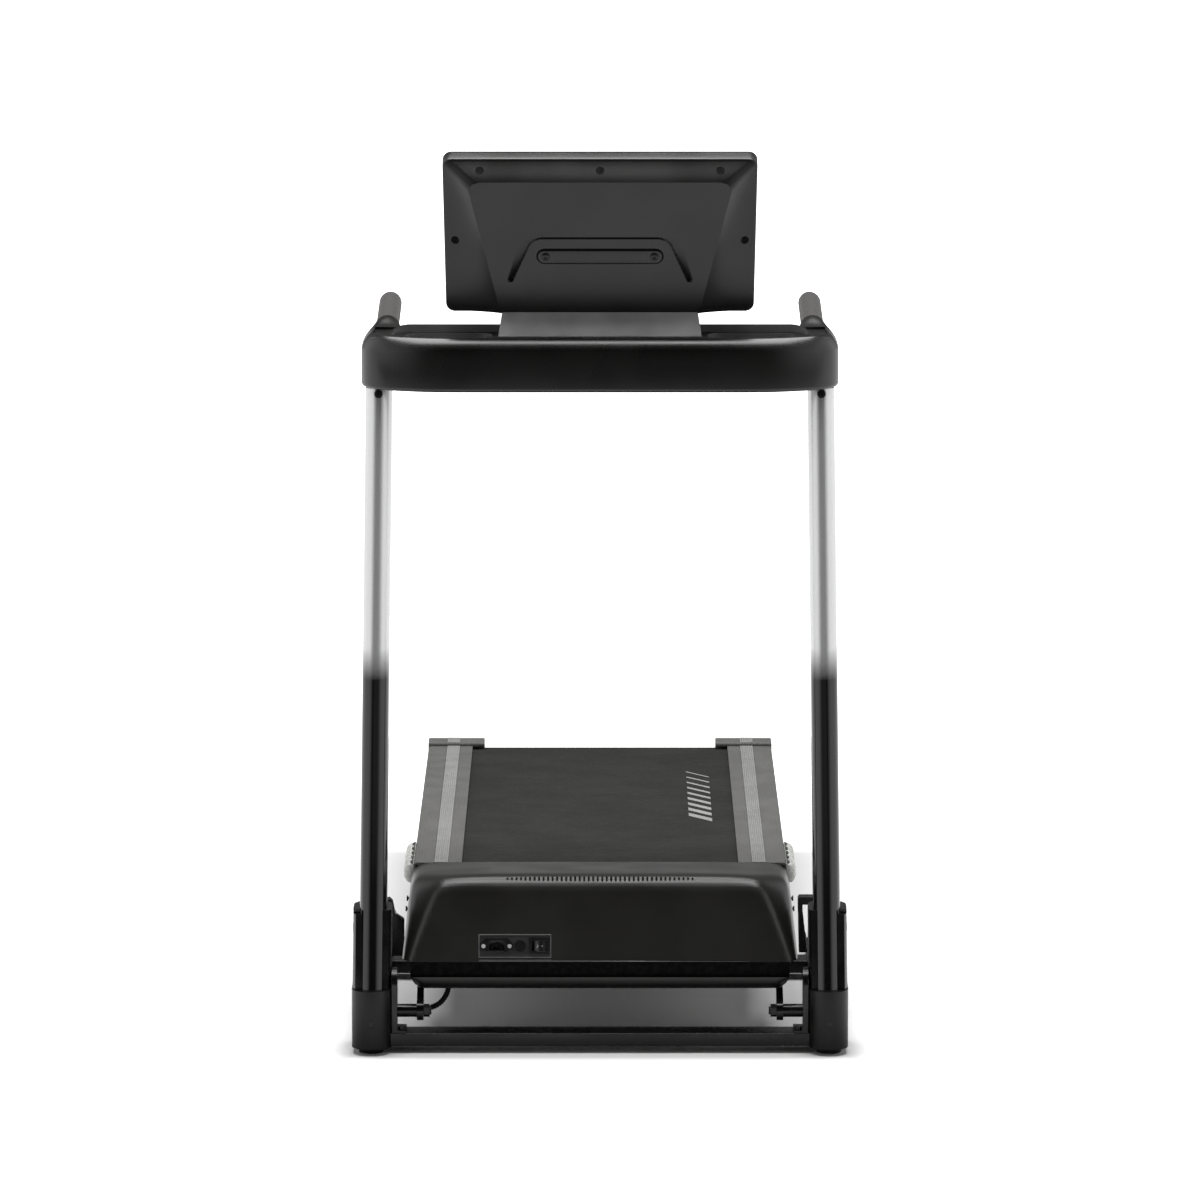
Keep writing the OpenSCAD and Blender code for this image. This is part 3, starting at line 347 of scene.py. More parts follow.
def belt_cloth():
    """Woven running belt with a fine diamond grain and a little drift in colour."""
    g = Graph("belt_rubber")
    g.colour((0.026, 0.0256, 0.0248), 0.1, 0.12)
    turned = g.add("ShaderNodeMapping")
    turned.inputs["Rotation"].default_value = (0, 0, math.radians(45))
    g.link(g.where, turned.inputs["Vector"])
    split = g.add("ShaderNodeSeparateXYZ")
    g.link(turned.outputs["Vector"], split.inputs["Vector"])
    across = g.math("SINE", g.math("MULTIPLY", split.outputs["X"], 2600), 0)
    along = g.math("SINE", g.math("MULTIPLY", split.outputs["Y"], 2600), 0)
    g.bump(g.math("MULTIPLY", across, along), 0.0002, 0.8)
    g.roughness(0.78, 0.06, 0.02)
    g.shader.inputs["Specular IOR Level"].default_value = 0.12
    return g.material


def air_film():
    """Cloudy film with a soft inner glow."""
    g = Graph("air_cell")
    g.colour((0.62, 0.63, 0.6), 0.12, 0.012)
    g.roughness(0.34, 0.1, 0.01)
    g.bump(g.noise(0.009, 2), 0.0006, 0.4)
    g.shader.inputs["Transmission Weight"].default_value = 0.15
    g.shader.inputs["Subsurface Weight"].default_value = 0.3
    g.shader.inputs["Subsurface Radius"].default_value = (0.01, 0.01, 0.01)
    return g.material


def fibreboard():
    g = Graph("board_wood")
    grain = g.noise(0.02, 6, g.stretched((6, 0.6, 6)))
    tone = g.mix(g.ranged(grain, 0, 1), (0.1, 0.065, 0.04), (0.19, 0.13, 0.085))
    g.link(tone, g.shader.inputs["Base Color"])
    g.roughness(0.6, 0.08)
    g.bump(grain, 0.0001, 0.5)
    return g.material


def circuit_board():
    g = Graph("circuit_green")
    cells = g.add("ShaderNodeTexVoronoi", Scale=140)
    g.link(g.where, cells.inputs["Vector"])
    g.link(
        g.mix(g.ranged(cells.outputs["Distance"], 0, 1, 0.3, 0.32), (0.02, 0.11, 0.045), (0.05, 0.2, 0.09)),
        g.shader.inputs["Base Color"],
    )
    g.roughness(0.4, 0.05)
    return g.material


def smoked_glass():
    g = Graph("display_glass")
    g.colour((0.012, 0.013, 0.015), 0.1)
    g.roughness(0.08, 0.02)
    g.shader.inputs["Coat Weight"].default_value = 0.6
    return g.material


def ribbed(name, base, pitch, rough=0.6):
    """Extruded plastic with fine ribs side by side across X."""
    g = Graph(name)
    g.colour(base, 0.06, 0.05)
    split = g.add("ShaderNodeSeparateXYZ")
    g.link(g.where, split.inputs["Vector"])
    ribs = g.math("SINE", g.math("MULTIPLY", split.outputs["X"], 2 * math.pi / pitch), 0)
    g.bump(ribs, 0.0003, 0.6)
    g.roughness(rough, 0.05)
    g.shader.inputs["Specular IOR Level"].default_value = 0.3
    return g.material


def make_materials():
    return {
        "black_paint": painted("black_paint", (0.0035, 0.0035, 0.0036), 0.26, 0.45),
        "upright_paint": upright_paint(),
        "flange_paint": painted("flange_paint", (0.004, 0.004, 0.0042), 0.24, 0.5),
        "zinc_steel": metal("zinc_steel", (0.8, 0.81, 0.82), 0.35, metallic=0.35),
        "black_steel": painted("black_steel", (0.012, 0.012, 0.013), 0.34),
        "cover_plastic": moulded("cover_plastic", (0.004, 0.0038, 0.0035), 0.27, 0.6),
        "hood_plastic": moulded("hood_plastic", (0.016, 0.0155, 0.0145), 0.32, 0.5),
        "console_plastic": moulded("console_plastic", (0.006, 0.0059, 0.0056), 0.36, 0.5),
        "tray_plastic": moulded("tray_plastic", (0.16, 0.16, 0.162), 0.4, 0.45),
        "foot_rail_plastic": ribbed("foot_rail_plastic", (0.115, 0.114, 0.111), 0.0045),
        "strip_rubber": ribbed("strip_rubber", (0.245, 0.245, 0.238), 0.003, rough=0.75),
        "belt_rubber": belt_cloth(),
        "black_rubber": rubber("black_rubber", (0.009, 0.009, 0.009)),
        "grip_foam": foam(),
        "air_cell": air_film(),
        "wheel_plastic": moulded("wheel_plastic", (0.02, 0.02, 0.02), 0.5, 0.35),
        "roller_steel": metal("roller_steel", (0.6, 0.6, 0.61), 0.3, (0.05, 1, 1)),
        "board_wood": fibreboard(),
        "motor_paint": painted("motor_paint", (0.14, 0.15, 0.16), 0.4),
        "circuit_green": circuit_board(),
        "panel_plastic": moulded("panel_plastic", (0.045, 0.045, 0.0455), 0.3, 0.6),
        "display_glass": smoked_glass(),
        "green_button": moulded("green_button", (0.04, 0.3, 0.09), 0.35, 0.45),
        "red_button": moulded("red_button", (0.5, 0.03, 0.025), 0.35, 0.45),
        "grey_button": moulded("grey_button", (0.24, 0.24, 0.25), 0.4, 0.4),
        # Painted highlight: light grey for the thin hem under the hood, standing in for the highlight along the
        # hood's lower edge.
        "hem": moulded("hem_highlight", (0.11, 0.11, 0.108), 0.35, 0.5),
        "mark": rubber("white_print", (0.7, 0.7, 0.69), 0.5),
        # Painted shade: a near-black matt look laid where shade falls, in wells, slots, grooves and under the
        # hood.
        "shadow": rubber("painted_shade", (0.0012, 0.0012, 0.0012), 0.95),
        # Painted light: the neck's light grey, far lighter than the other console plastics, stands in for light
        # on its front that the lamps don't give.
        "neck": moulded("neck_plastic", (0.38, 0.377, 0.383), 0.42, 0.4),
        "boot": moulded("boot_plastic", (0.0026, 0.0025, 0.0023), 0.32, 0.35),
        "print": ribbed("belt_print", (0.3, 0.3, 0.295), 0.0024, rough=0.8),
    }


# ---- Mesh helpers ----


def shade(mesh, angle=32):
    """Smooth shading that stays crisp over edges sharper than the angle."""
    bm = bmesh.new()
    bm.from_mesh(mesh)
    bmesh.ops.recalc_face_normals(bm, faces=bm.faces)
    for face in bm.faces:
        face.smooth = True
    for edge in bm.edges:
        edge.smooth = len(edge.link_faces) == 2 and edge.calc_face_angle(0) < math.radians(angle)
    bm.to_mesh(mesh)
    bm.free()


def piece(name, vertices, faces, to_world, slot, body, stands_for=(), angle=32, look=None):
    """A new object from local points in millimetres, riding on a body."""
    mesh = bpy.data.meshes.new(name)
    mesh.from_pydata([to_world @ Vector(v) for v in vertices], [], faces)
    shade(mesh, angle)
    mesh.materials.append(MATERIALS[look or slot])
    obj = bpy.data.objects.new(name, mesh)
    bpy.context.scene.collection.objects.link(obj)
    if body:
        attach(obj, body)
    if stands_for:
        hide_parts(*stands_for)
    return obj


class Shape:
    """Collects vertices and faces of one piece."""

    def __init__(self):
        self.points, self.faces = [], []

    def loft(self, rings, closed=True, caps=True):
        """A skin over rings that have the same number of points."""
        start, n = len(self.points), len(rings[0])
        for ring in rings:
            self.points.extend(ring)
        around = n if closed else n - 1
        for i in range(len(rings) - 1):
            a, b = start + i * n, start + (i + 1) * n
            for k in range(around):
                m = (k + 1) % n
                self.faces.append((a + k, a + m, b + m, b + k))
        if caps:
            self.faces.append(tuple(range(start, start + n))[::-1])
            self.faces.append(tuple(range(start + (len(rings) - 1) * n, start + len(rings) * n)))

    def turned(self, profile, centre, axis, steps=40, caps=False):
        """A profile of (radius, height) turned about an axis through centre."""
        axis = Vector(axis).normalized()
        side = axis.orthogonal().normalized()
        other = axis.cross(side)
        centre = Vector(centre)
        rings = []
        for radius, height in profile:
            rings.append(
                [
                    centre
                    + axis * height
                    + (side * math.cos(a) + other * math.sin(a)) * radius
                    for a in (2 * math.pi * k / steps for k in range(steps))
                ]
            )
        self.loft(rings, True, caps)

    def make(self, name, to_world, slot, body, stands_for=(), angle=32, look=None):
        return piece(name, self.points, self.faces, to_world, slot, body, stands_for, angle, look)


def refined(node, width, angle=28, shortest=4.0, segments=3, look=None):
    """A copy of a CAD node with rounded edges, which stands for the node."""
    bm = bmesh.new()
    bm.from_mesh(frame["nodes"][node].data)
    bmesh.ops.remove_doubles(bm, verts=bm.verts, dist=2e-6)
    bmesh.ops.dissolve_limit(bm, angle_limit=math.radians(0.8), verts=bm.verts, edges=bm.edges)
    edges = [
        e
        for e in bm.edges
        if len(e.link_faces) == 2
        and abs(e.calc_face_angle(0)) > math.radians(angle)
        and e.calc_length() > shortest * MM
    ]
    bmesh.ops.bevel(
        bm, geom=edges, offset=width * MM, segments=segments, profile=0.6, affect="EDGES", clamp_overlap=True
    )
    mesh = bpy.data.meshes.new(node + "_fine")
    bm.to_mesh(mesh)
    bm.free()
    shade(mesh)
    slot = SLOTS[node]
    mesh.materials.append(MATERIALS[look or slot])
    obj = bpy.data.objects.new(node + "_fine", mesh)
    bpy.context.scene.collection.objects.link(obj)
    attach(obj, BODIES[node])
    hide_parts(node)
    return obj


def dress_frame():
    """Gives every CAD node its material."""
    for name, obj in frame["nodes"].items():
        obj.data.materials.clear()
        obj.data.materials.append(MATERIALS[SLOTS[name]])
        for polygon in obj.data.polygons:
            polygon.material_index = 0


def arc(centre, radius, start, stop, steps):
    """Points of an arc in a plane, in degrees."""
    points = []
    for i in range(steps + 1):
        a = math.radians(start + (stop - start) * i / steps)
        points.append((centre[0] + radius * math.cos(a), centre[1] + radius * math.sin(a)))
    return points


# ---- Handlebar ----

BAR_FRONT, BAR_BACK, BAR_Z, BAR_H = 160.0, 277.0, 999.5, 82.0
BAR_HALF, BAR_FLAT, BAR_BOW, BAR_CORNER = 366.0, 220.0, 246.0, 70.0
ARM_IN, TAIL_START, TAIL_END = 306.0, 305.0, 347.0
GRIP_X, GRIP_Z0, GRIP_Z1, GRIP_END = 328.0, 1074.0, 1084.0, 573.0
# The tray walls beside the neck, in metres: where they end, and how far they run on behind it
WALL_END, WALL_BACK, TRAY_EDGE, WALL_REACH = (0.1555, 0.1585), 0.25, 0.0035, 0.011


def bar_stations():
    """Pairs of (outer point, inner point) from the middle of the bar to the right arm's rear end."""
    out = BAR_HALF - BAR_CORNER - BAR_FLAT
    bow = BAR_BOW - BAR_CORNER
    corner_y = BAR_FRONT + BAR_BOW - math.sqrt(bow * bow - out * out)
    turn = math.degrees(math.asin(out / bow))
    stations = [((x, BAR_FRONT), (x, BAR_BACK)) for x in (0, 60, 120, 170, 200)]
    for i, p in enumerate(arc((BAR_FLAT, BAR_FRONT + BAR_BOW), BAR_BOW, -90, -90 + turn, 14)):
        inner = BAR_FLAT + (ARM_IN - BAR_FLAT) * i / 14
        stations.append((p, (inner, BAR_BACK)))
    for p in arc((BAR_FLAT + out, corner_y), BAR_CORNER, -90 + turn, 0, 16)[1:]:
        stations.append((p, (ARM_IN, BAR_BACK)))
    for y in (262, 277, 291, TAIL_START):
        stations.append(((BAR_HALF, y), (ARM_IN, max(y, BAR_BACK))))
    return stations


def bar_section(outer, inner, grow, recessed):
    """Closed outline between an outer and an inner point: (x, y, z) points, outer face first."""
    o, i = Vector(outer), Vector(inner)
    depth = (i - o).length
    run = (i - o) / depth
    lip, wall, low = 16.0, 3.0, 38.0
    round_in, round_down = 16 + 3 * grow, 19 + 7 * grow
    flat = []
    for k in range(7):
        a = math.radians(15 * k)
        flat.append((5 - 5 * math.sin(a), 6 - 6 * math.cos(a)))
    for k in range(1, 13):
        a = math.radians(90 * k / 12)
        c, s = max(0.0, math.cos(a)) ** 1.4, math.sin(a) ** 1.4
        flat.append((round_in - round_in * c, BAR_H - round_down + round_down * s))
    if recessed:
        flat += [(lip + 3.5, BAR_H), (lip + 4, BAR_H - 0.6), (lip + 4, low), (depth - wall, low)]
        flat += [(depth - wall, BAR_H - 0.6), (depth - wall + 0.6, BAR_H), (depth - 0.8, BAR_H)]
    flat += [(depth, BAR_H - 0.8), (depth, 3), (depth - 0.9, 0.9), (depth - 3, 0)]
    return [(o.x + run.x * d, o.y + run.y * d, BAR_Z + z) for d, z in flat]


def tail_ring(t, outline):
    """Outline of the tail at t from 0, the arm's end, to 1, the ring round the grip."""
    count = 64
    y = TAIL_START + (TAIL_END - TAIL_START) * t
    blend = t * t * (3 - 2 * t)
    mid = Vector(((ARM_IN + BAR_HALF) / 2, BAR_Z + BAR_H / 2))
    ring = []
    for k in range(count):
        a = 2 * math.pi * (k + 0.5) / count
        way = Vector((math.cos(a), math.sin(a)))
        reach = 0.0
        for p, q in zip(outline, outline[1:] + outline[:1]):
            edge = q - p
            turn = way.x * edge.y - way.y * edge.x
            if abs(turn) < 1e-9:
                continue
            off = p - mid
            along = (off.x * edge.y - off.y * edge.x) / turn
            on = (off.x * way.y - off.y * way.x) / turn
            if along > 0 and -1e-6 <= on <= 1 + 1e-6:
                reach = max(reach, along)
        p = (mid + way * reach).lerp(Vector((GRIP_X, GRIP_Z0)) + way * 20, blend)
        ring.append((p.x, y, p.y))
    return ring


def handlebar():
    half = bar_stations()
    full = [((-o[0], o[1]), (-i[0], i[1])) for o, i in reversed(half[1:])] + half
    rings = []
    for outer, inner in full:
        grow = min(1.0, max(0.0, (abs(outer[0]) - 230) / 120))
        rings.append(bar_section(outer, inner, grow * grow * (3 - 2 * grow), True))
    shape = Shape()
    shape.loft(rings)
    arm = bar_section((BAR_HALF, TAIL_START), (ARM_IN, TAIL_START), 1.0, False)
    outline = [Vector((x, z)) for x, _, z in arm]
    for side in (1, -1):
        rings = [[(side * x, y, z) for x, y, z in tail_ring(t / 12, outline)] for t in range(13)]
        end = [
            (side * (GRIP_X + 17.8 * math.cos(a)), TAIL_END + 1.2, GRIP_Z0 + 17.8 * math.sin(a))
            for a in (2 * math.pi * (k + 0.5) / 64 for k in range(64))
        ]
        shape.loft(rings + [end])
    shape.make("handlebar_shell", BASE, "cover_plastic", "frame", ["handlebar_housing"])
    grips()
    tray = refined("console_tray", 1.2)
    for vert in tray.data.vertices:
        at_wall_end = WALL_END[0] < abs(vert.co.x) < WALL_END[1] and vert.co.y > FRONT + WALL_BACK
        if at_wall_end and vert.co.z > (BAR_Z + BAR_H) * MM - TRAY_EDGE:
            vert.co.x -= math.copysign(WALL_REACH, vert.co.x)
    tray.data.materials.append(MATERIALS["boot"])
    for polygon in tray.data.polygons:
        if polygon.normal.z > 0.5 and polygon.center.z > (BAR_Z + BAR_H - 8) * MM:
            polygon.material_index = 1
    # Painted light: the neck takes the light grey neck look, standing in for light falling on its front.
    refined("console_neck", 3.5, shortest=8, look="neck")
    refined("handlebar_frame", 1.0)


def grips():
    """Foam sleeves with rounded ends, and their end plugs."""
    run = Vector((0, GRIP_END - 8 - (TAIL_END + 1), GRIP_Z1 - GRIP_Z0 - 1))
    length = run.length
    axis = run.normalized()
    sleeves, plugs = Shape(), Shape()
    for side in (1, -1):
        start = (side * GRIP_X, TAIL_END + 1, GRIP_Z0 + 1)
        profile = [(14.5, 0), (16.2, 0), (17.2, 0.8), (17.6, 2.5)]
        profile += [(17.6, length * k / 12) for k in range(1, 12)]
        profile += [(17.6, length - 3), (17.0, length - 0.8), (15.8, length), (14.5, length)]
        sleeves.turned(profile, start, axis, 48)
        end = Vector(start) + axis * length
        plugs.turned([(0.01, 7.6), (9, 7.5), (13.5, 6.8), (16, 5), (17, 2.4), (17, 0), (12, 0)], end, axis, 40)
    sleeves.make("foam_sleeves", BASE, "grip_foam", "frame", ["foam_grips"], 50)
    plugs.make("grip_plugs", BASE, "cover_plastic", "frame", ["grip_end_caps"], 40)


# ---- Console ----

CONSOLE_HALF, CONSOLE_H, RIM, SWELL = 240.0, 254.0, 26.0, 28.0


def rounded_trapezoid(low_half, top_half, low, high, radius, per_corner=8, inset=0.0):
    """Points of a trapezoid with round corners, anticlockwise from its lower right."""
    r = max(radius - inset, 0.5)
    corners = [
        (low_half - inset - r, low + inset + r, -90, 0),
        (top_half - inset - r, high - inset - r, 0, 90),
        (-(top_half - inset - r), high - inset - r, 90, 180),
        (-(low_half - inset - r), low + inset + r, 180, 270),
    ]
    ends = [arc((x, z), r, a, b, per_corner) for x, z, a, b in corners]
    points = []
    for i, run in enumerate(ends):
        points.extend(run)
        nxt = ends[(i + 1) % 4][0]
        last = run[-1]
        extra = 24 if i % 2 == 1 or i == 3 else 12
        for k in range(1, extra):
            t = k / extra
            points.append((last[0] + (nxt[0] - last[0]) * t, last[1] + (nxt[1] - last[1]) * t))
    return points


def smooth(a, b, x):
    t = min(1.0, max(0.0, (x - a) / (b - a)))
    return t * t * (3 - 2 * t)


def arch_half(z, top, half_top, half_low):
    """Half width of an arch at height z: straight legs that splay out downwards."""
    return half_low + (half_top - half_low) * (z - 59) / (top - 59)


def back_relief(x, z):
    """Depth of the sunk arch at a point of the console's back: a ramp that ends at a crisp inner arch."""
    x = abs(x)
    outer = min(arch_half(z, 162, 116, 142) - x, 162 - z)
    if outer <= 0 or z < 57:
        return 0.0
    side = arch_half(z, 132, 103.5, 134) - x
    top = 132 - z
    r = 14.0
    if side < r and top < r:
        inner = r - math.hypot(r - side, r - top)
    else:
        inner = min(side, top)
    edge = 1 - smooth(-0.9, 0.9, inner)
    ramp = outer / (outer + max(-inner, 0.0) + 0.01)
    deep = 2.6 + 4.6 * min(1.0, max(0.0, (132 - z) / 73))
    return deep * ramp * edge * smooth(57, 60, z)


def rim_depth(z):
    """Depth of the shell's side walls, which grows towards the console's foot."""
    return 26 + 16 * (1 - min(1.0, max(0.0, (z - 14) / 226)))


def console_back():
    """The rear shell: rim, slopes, raised panel with its sunk arch, and screw wells."""
    rim = rounded_trapezoid(CONSOLE_HALF - 4, CONSOLE_HALF, 0, CONSOLE_H, 14)
    lip = rounded_trapezoid(CONSOLE_HALF - 4, CONSOLE_HALF, 0, CONSOLE_H, 14, inset=2.5)
    swell = rounded_trapezoid(155, 200, 2.0, 228, 16)
    rings = [[(x, -10.2, z) for x, z in rim], [(x, -15, z) for x, z in rim]]
    rings.append([(x, 4 - rim_depth(z), z) for x, z in rim])
    for k in range(1, 5):
        a = math.radians(22.5 * k)
        rings.append(
            [
                (
                    xr + (xl - xr) * (1 - math.cos(a)),
                    4 - rim_depth(zr) - 4 * math.sin(a),
                    zr + (zl - zr) * (1 - math.cos(a)),
                )
                for (xr, zr), (xl, zl) in zip(rim, lip)
            ]
        )
    start = rings[-1]
    for k in range(1, 13):
        t = k / 12
        straight = 0.7 * t + 0.3 * smooth(-0.1, 1.04, t)
        ring = []
        for (x0, y0, z0), (x1, z1) in zip(start, swell):
            top = smooth(190, 226, z1)
            rise = straight * top + (0.5 * t + 0.5 * t**3) * (1 - top)
            ring.append((x0 + (x1 - x0) * t, y0 + (-RIM - SWELL - y0) * rise, z0 + (z1 - z0) * t))
        rings.append(ring)
    shape = Shape()
    shape.loft(rings, True, False)
    face(shape)
    shape.make("console_back", CONSOLE, "console_plastic", "frame", ["console_rear_shell"], 34)
    console_details(BVHTree.FromPolygons(shape.points, shape.faces))


def face(shape):
    """The raised panel as a grid, fine where the arch is sunk into it."""
    depth = -RIM - SWELL
    top, low, r = 228.0, 2.0, 16.0

    def half_at(z):
        if z > top - r:
            return 200 - r + math.sqrt(max(0.0, r * r - (z - top + r) ** 2))
        if z < low + r:
            return 155 - r + math.sqrt(max(0.0, r * r - (low + r - z) ** 2))
        return 155 + 45 * (z - low - r) / (top - low - 2 * r)

    heights = [low + (56 - low) * (k / 10) ** 1.3 for k in range(10)]
    heights += [56 + 1.25 * k for k in range(89)]
    heights += [167 + (top - 167) * (1 - (1 - k / 10) ** 1.3) for k in range(1, 11)]
    rows = []
    for z in heights:
        half = half_at(z)
        middle = min(148.0, half - 4)
        across = [middle * (k / 118 - 1) for k in range(237)]
        wing = [middle + (half - middle) * k / 4 for k in range(1, 5)]
        row = [-x for x in reversed(wing)] + across + wing
        rows.append([(x, depth + back_relief(x, z), z) for x in row])
    shape.loft(rows, False, False)


def console_details(back):
    """Screw wells with their screws, and the embossed plate with two round screws."""
    wells, screws = Shape(), Shape()
    for x, z in ((-183, 241), (0, 241), (183, 241), (-221, 121), (221, 121)):
        at, normal, _, _ = back.ray_cast(Vector((x, -120, z)), Vector((0, 1, 0)))
        out = normal if normal.y < 0 else -normal
        wells.turned(
            [(0.01, 0.14), (5.2, 0.14), (5.5, 0.4), (5.9, 0.42), (6.3, 0.3), (6.6, -0.4)], at, out, 32
        )
        screws.turned([(0.01, 0.2), (1.2, 0.2), (1.5, 0.5), (2.6, 0.42), (2.9, 0.1)], at, out, 20)
    # Painted shade: the wells are shallow discs in the near-black look, standing in for the shade inside deep
    # screw wells; their screws take the same painted shade.
    wells.make("console_wells", CONSOLE, "black_rubber", "frame", look="shadow")
    screws.make("console_well_screws", CONSOLE, "black_steel", "frame", look="shadow")
    outline = arc((84, 102), 11, -90, 90, 14) + arc((-84, 102), 11, 90, 270, 14)
    rings = []
    for inset, y in ((-2.2, 0.8), (-2.2, -0.25), (-0.2, -0.3), (0, -2.0), (0.7, -2.8), (2.0, -3.1)):
        ring = []
        for x, z in outline:
            side = math.copysign(84, x)
            drawn_in = 1 - inset / 11
            ring.append((side + (x - side) * drawn_in, y - RIM - SWELL, 102 + (z - 102) * drawn_in))
        rings.append(ring)
    plate = Shape()
    plate.loft(rings)
    sunk = plate.make("console_plate", CONSOLE, "console_plastic", "frame")
    # Painted shade: the thin band round the plate's edge takes the near-black look, standing in for shade in
    # the groove round the plate.
    sunk.data.materials.append(MATERIALS["shadow"])
    for polygon in sunk.data.polygons[: 2 * len(outline)]:
        polygon.material_index = 1
    heads = Shape()
    for x in (-83, 83):
        heads.turned(
            [(0.01, 0.6), (2.2, 0.6), (2.3, 2.4), (4.4, 2.9), (5.6, 2.4), (6.2, 1.3), (6.3, 0)],
            (x, -RIM - SWELL - 3.0, 103),
            (0, -1, 0),
            32,
        )
    heads.make("console_plate_screws", CONSOLE, "black_steel", "frame", ["console_screws"])


def console_front():
    """Bezel with raised frame lines round the display and generic marks on the keys."""
    refined("console_bezel", 2.2, shortest=3)
    refined("display_window", 0.8)
    trim = Shape()
    outline = rounded_trapezoid(184, 184, 94, 236, 6, 6)
    inner = rounded_trapezoid(181, 181, 97, 233, 3.5, 6)
    rings = [
        [(x, 0.0, z) for x, z in outline], [(x, 1.0, z) for x, z in outline],
        [(x, 1.0, z) for x, z in inner], [(x, 0.0, z) for x, z in inner],
    ]
    trim.loft(rings, True, False)
    for x, r in ((62, 14), (-62, 14), (118, 10), (-118, 10)):
        profile = [(0.6, 0), (0.6, 0.9), (1.0, 1.3), (2.4, 1.3), (2.8, 0.9), (2.8, 0)]
        trim.turned([(r + out, y) for out, y in profile], (x, 0, 52), (0, 1, 0), 48)
    key_ring = [(16.5, 0), (16.5, 0.8), (17, 1.2), (19, 1.2), (19.5, 0.8), (19.5, 0)]
    trim.turned(key_ring, (0, 0, 48), (0, 1, 0), 48)
    trim.make("console_trim", CONSOLE, "grey_button", "frame")


def key_cap(node, x, radius, slot, mark):
    """A dished key with a raised generic mark."""
    shape = Shape()
    r = radius
    profile = [(0.01, 1.3), (r * 0.5, 1.5), (r * 0.8, 2.0), (r - 0.8, 2.0), (r - 0.2, 1.5), (r, 0.7)]
    profile += [(r, -5), (r + 2, -5), (r + 2, -7), (0.01, -7)]
    shape.turned(profile, (x, 0, 52), (0, 1, 0), 48)
    shape.make(node + "_cap", CONSOLE, slot, node, [node], 40)
    sign = Shape()
    for outline in mark:
        rings = [[(x + px, y, 52 + pz) for px, pz in outline] for y in (1.0, 1.9)]
        sign.loft(rings)
    sign.make(node + "_mark", CONSOLE, "strip_rubber", node)


def keys():
    def bar(w, h):
        return [(-w, -h), (w, -h), (w, h), (-w, h)]

    key_cap("start_button", 62, 14, "green_button", [[(-4, -5), (5.5, 0), (-4, 5)]])
    key_cap("stop_button", -62, 14, "red_button", [bar(4, 4)])
    key_cap("speed_up_button", 118, 10, "grey_button", [bar(4.5, 0.8), bar(0.8, 4.5)])
    key_cap("speed_down_button", -118, 10, "grey_button", [bar(4.5, 0.8)])
    key = Shape()
    key.turned(
        [(0.01, 8.4), (6, 8.3), (8, 8.6), (12, 8.4), (14.3, 7.2), (15, 5.2), (14.6, 1.6), (13.5, 0.4), (6, 0.4),
         (6, -9), (0.01, -9)],
        (0, 0, 48), (0, 1, 0), 48,
    )
    key.make("safety_key_cap", CONSOLE, "red_button", "safety_key", ["safety_key"], 40)


# ---- Deck dressing ----


HOOD_REAR = 297.0
HOOD_TOP = [
    (295, 40, 139), (302.5, 54, 139), (302.5, HOOD_REAR, 139),
    (249, 60, 250), (291, 112, 246), (238, 80, 268), (281, 124, 258),
    (283, HOOD_REAR, 244), (291, HOOD_REAR, 236),
]
HOOD_SIDES = [(0, 1, 4, 3), (3, 4, 6, 5), (1, 2, 8, 4), (4, 8, 7, 6)]


